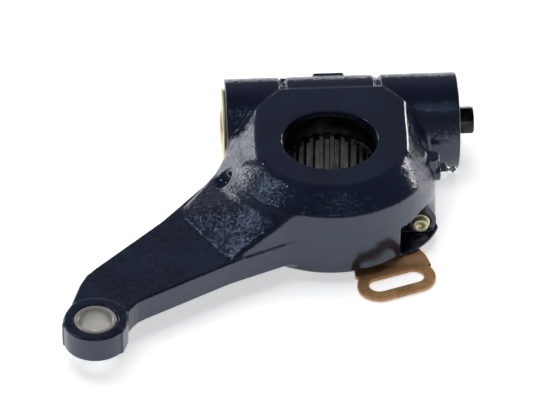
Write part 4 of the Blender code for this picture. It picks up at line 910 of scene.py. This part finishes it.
RIVET_LOW = ARM_TOP - ARM_THICKNESS - 0.3
rivet = eased([(0, -14.3), (1.3, -14.3), (1.3, RIVET_LOW), (2.2, RIVET_LOW),
               (2.1, RIVET_LOW - 0.5), (1.4, RIVET_LOW - 1), (0, RIVET_LOW - 1.1)], 0.45, 5)
for index, hole in enumerate(RIVETS, 1):
    made = spun("arm_rivet_headed_%d" % index, rivet, "Z", (*hole, 0), 32)
    dress(made, straw)
    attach(made, "control_unit")
    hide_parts("arm_rivet_%d" % index)

# Friction spring and cover plate
# A cone spring presses on the control disc. The cover is pressed sheet, enamelled with the
# casting, and closes the wheel's chamber from below with four ears for its screws.

dress(nodes["friction_spring"], drawn_wire)
COVER_LOW, COVER_TOP = HUB_BOTTOM + 0.05, -15.6
COVER_RADIUS, COVER_HOLE = 37.2, 27.8
EAR_RADIUS, SEAT_RADIUS, EAR_HOLE = 4.5, 3.4, 1.8


def cover_field(place):
    """Distance to the cover: a flat ring with four round ears, each sunk for its screw's head."""
    x, y, z = place.T
    plan = np.hypot(x, y) - COVER_RADIUS
    seats = np.full(x.shape, 1e3)
    for ear_x, ear_y in EARS:
        away = np.hypot(x - ear_x, y - ear_y)
        plan = fuse(plan, away - EAR_RADIUS, 1.5)
        seat = np.where(z < COVER_LOW + 0.9, away - SEAT_RADIUS, away - EAR_HOLE)
        seats = np.minimum(seats, seat)
    plan = np.maximum(plan, COVER_HOLE - np.hypot(x, y))
    plan = np.maximum(plan, -seats)
    return rounded(plan, slab(z, COVER_LOW, COVER_TOP), 0.3)


cover, cover_skin = formed("cover_pressed", "cover_plate", cover_field, 0.25, 0.15)
marked(cover, "cast_skin", np.full(len(cover_skin), 0.12))
dress(cover, enamel)
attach(cover, "housing")
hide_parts("cover_plate")

# Cover screws
# Four flat-headed screws with a cross slot sit flush in the cover's ears, plated in
# yellow zinc.

HEAD_RADIUS, SCREW_RADIUS = 3.1, 1.5
HEAD_TOP, SCREW_TOP = COVER_LOW + 0.6, -8.3
CROSS_HALF, CROSS_REACH, CROSS_DEPTH = 0.45, 1.9, 0.35
screw = eased([(0, COVER_LOW), (HEAD_RADIUS, COVER_LOW), (HEAD_RADIUS, HEAD_TOP),
               (SCREW_RADIUS, HEAD_TOP), (SCREW_RADIUS, SCREW_TOP), (0, SCREW_TOP)], 0.12)
corner_steps = ((CROSS_REACH, CROSS_HALF), (CROSS_HALF, CROSS_HALF), (CROSS_HALF, CROSS_REACH))
cross = np.array([(u * cos(turn) - v * sin(turn), u * sin(turn) + v * cos(turn))
                  for turn in (0, pi / 2, pi, 3 * pi / 2) for u, v in corner_steps])


def cross_cutter(at):
    """The cross slot as a closed form: its outline at two heights, closed to its middle."""
    grid = np.zeros((4, len(cross), 3))
    grid[1:3, :, :2] = cross
    low, high = COVER_LOW - 1, COVER_LOW + CROSS_DEPTH
    grid[..., 2] = np.array([low, low, high, high])[:, None]
    return woven("cross_cutter", grid + at, 30, open_rows=True)


for index, ear in enumerate(EARS, 1):
    at = np.array((*ear, 0))
    made = spun("cover_screw_cut_%d" % index, screw, "Z", at, 48)
    cutter = cross_cutter(at)
    applied(made, "BOOLEAN", operation="DIFFERENCE", solver="EXACT", object=cutter)
    applied(made, "WELD", merge_threshold=0.00001)
    bpy.data.objects.remove(cutter)
    made.data.set_sharp_from_angle(angle=radians(35))
    dress(made, straw)
    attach(made, "housing")
    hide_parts("cover_screw_%d" % index)

# Grease nipple
# A bright-plated nipple is screwed into the flat spot at the right of the hub: a hexagon,
# a waisted neck and a round head that the gun's coupler grips.

NIPPLE_FACE = 51.3
NIPPLE_HEX = 3.46
nipple = [(0, -5), (2.3, -5), (2.3, 0), (3.9, 0), (4, 0.15), (4, 0.6), (4, 1.1), (4, 1.6), (4, 2.1),
          (3.8, 2.3), (3.6, 2.45), (3.3, 2.6), (2.2, 2.6), (2.15, 3.2), (1.8, 3.6), (1.25, 4.3),
          (1.2, 4.8), (1.35, 5.3), (1.65, 5.8), (1.7, 6.2), (1.6, 6.7), (1.3, 7.1), (0.7, 7.35),
          (0.45, 7.4), (0.4, 7.1), (0, 7.0)]
nipple = spun("grease_nipple_turned", [(radius, NIPPLE_FACE + rise) for radius, rise in nipple],
              "X", (0, NIPPLE_Y, 0), 72, (6, NIPPLE_HEX, NIPPLE_FACE, NIPPLE_FACE + 2.7))

# Bright zinc plate: almost white and mirror-like, over fine turning rings.
bright = turned_metal("bright zinc plate", "#C6C9CC", "#EEF0F2", 0.18, 0.2, 0.003)
dress(nipple, bright)
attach(nipple, "housing")
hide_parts("grease_nipple")

# Photographer's table
# A matt white table carries the adjuster. Its own faint glow keeps it white to the camera and
# in the enamel, and the soft shadow under the casting stays.

TABLE_Z = -0.0228
TABLE_GLOW = 0.55
floor = bpy.data.meshes.new("table")
corners = [(-2, -2, TABLE_Z), (2, -2, TABLE_Z), (2, 4, TABLE_Z), (-2, 4, TABLE_Z)]
floor.from_pydata(corners, [], [(0, 1, 2, 3)])
floor = link("table", floor)
white = bpy.data.materials.new("matt white table")
white.use_nodes = True
tree = white.node_tree
tree.nodes.remove(tree.nodes["Principled BSDF"])
seen = add(tree, "LightPath")
direct = add(tree, "Math", {"operation": "MAXIMUM"}, _0=seen.outputs["Is Camera Ray"],
             _1=seen.outputs["Is Glossy Ray"])
direct = add(tree, "Math", {"operation": "MAXIMUM"}, _0=direct,
             _1=seen.outputs["Is Transmission Ray"])
glow = add(tree, "Emission", Color=(1, 1, 1, 1), Strength=TABLE_GLOW)
matt = add(tree, "BsdfDiffuse", Color=(0.85, 0.85, 0.85, 1))
lit = add(tree, "AddShader", _0=glow, _1=matt)
choose = add(tree, "MixShader", Fac=direct, _1=matt, _2=lit)
fit(tree.nodes["Material Output"], Surface=choose)
dress(floor, white)

# Studio
# A dim grey room, paler towards the horizon, with one small blue-white lamp nearly overhead
# and one at the upper left, a low window at the back left, a warmer one at the back right,
# and a wide dull fill that lights without a glint.

room = bpy.data.worlds.new("dim room")
bpy.context.scene.world = room
room.use_nodes = True
tree = room.node_tree
aim = add(tree, "TexCoord").outputs["Generated"]
apart = add(tree, "SeparateXYZ", Vector=aim)
greys = ((0.0, (0.3, 0.31, 0.34, 1)), (0.3, (0.2, 0.205, 0.225, 1)),
         (0.62, (0.13, 0.135, 0.15, 1)), (0.9, (0.03, 0.032, 0.04, 1)))
rise = add(tree, "ValToRGB", {"stops": greys}, Fac=apart.outputs["Z"])
fit(tree.nodes["Background"], Color=rise)


def softbox(name, at, width, depth, power, tint, glint=True):
    """A soft rectangular lamp that faces the object."""
    lamp = bpy.data.lights.new(name, "AREA")
    lamp.shape = "RECTANGLE"
    lamp.size = width
    lamp.size_y = depth
    lamp.energy = power
    lamp.color = tint
    made = link(name, lamp)
    made.location = at
    made.rotation_euler = (-Vector(at)).to_track_quat("-Z", "Y").to_euler()
    made.visible_glossy = glint


softbox("overhead", (0.1, -0.4, 1.02), 0.08, 0.08, 0.3, (0.6, 0.8, 1.0))
softbox("fill", (-0.2, 0.2, 1.2), 1.2, 1.2, 14, (1.0, 1.0, 1.0), False)
softbox("left window", (-1.0, 1.25, 0.3), 0.5, 0.4, 2.5, (1.0, 0.98, 0.95))
softbox("right window", (0.9, 0.98, 0.25), 0.45, 0.3, 4, (1.0, 0.92, 0.84))
softbox("upper left", (-0.58, 0.27, 0.78), 0.08, 0.08, 0.6, (0.75, 0.87, 1.0))

# Camera
# Far away with a long lens, 38 degrees above the table and 3 degrees to the left of -Y.

ELEVATION = radians(38)
TURN = radians(3)
# In pixels: the photograph's width and height, the bore's place in it, its scale there and
# the lens's focal length.
PHOTO_WIDTH, PHOTO_HEIGHT = 533, 400
BORE_PX = (330, 139.4)
PX_PER_MM = 2.2
FOCAL_PX = 4200.0
right = Vector((cos(TURN), -sin(TURN), 0))
ahead = Vector((sin(TURN), cos(TURN), 0)) * cos(ELEVATION) - Vector((0, 0, sin(ELEVATION)))
up = right.cross(ahead)
distance = FOCAL_PX / PX_PER_MM * 0.001
aimed = Vector((0, 0, 0.023))
place = aimed - ahead * distance
place -= right * (BORE_PX[0] - PHOTO_WIDTH / 2) / FOCAL_PX * distance
place -= up * (PHOTO_HEIGHT / 2 - BORE_PX[1]) / FOCAL_PX * distance
camera = bpy.data.cameras.new("camera")
camera.sensor_width = 36
camera.lens = 36 * FOCAL_PX / PHOTO_WIDTH
camera.clip_start = 0.1
camera.clip_end = 20
camera = link("camera", camera)
camera.matrix_world = Matrix.Translation(place) @ Matrix((right, up, -ahead)).transposed().to_4x4()
bpy.context.scene.camera = camera
bpy.context.scene.view_settings.view_transform = "Standard"
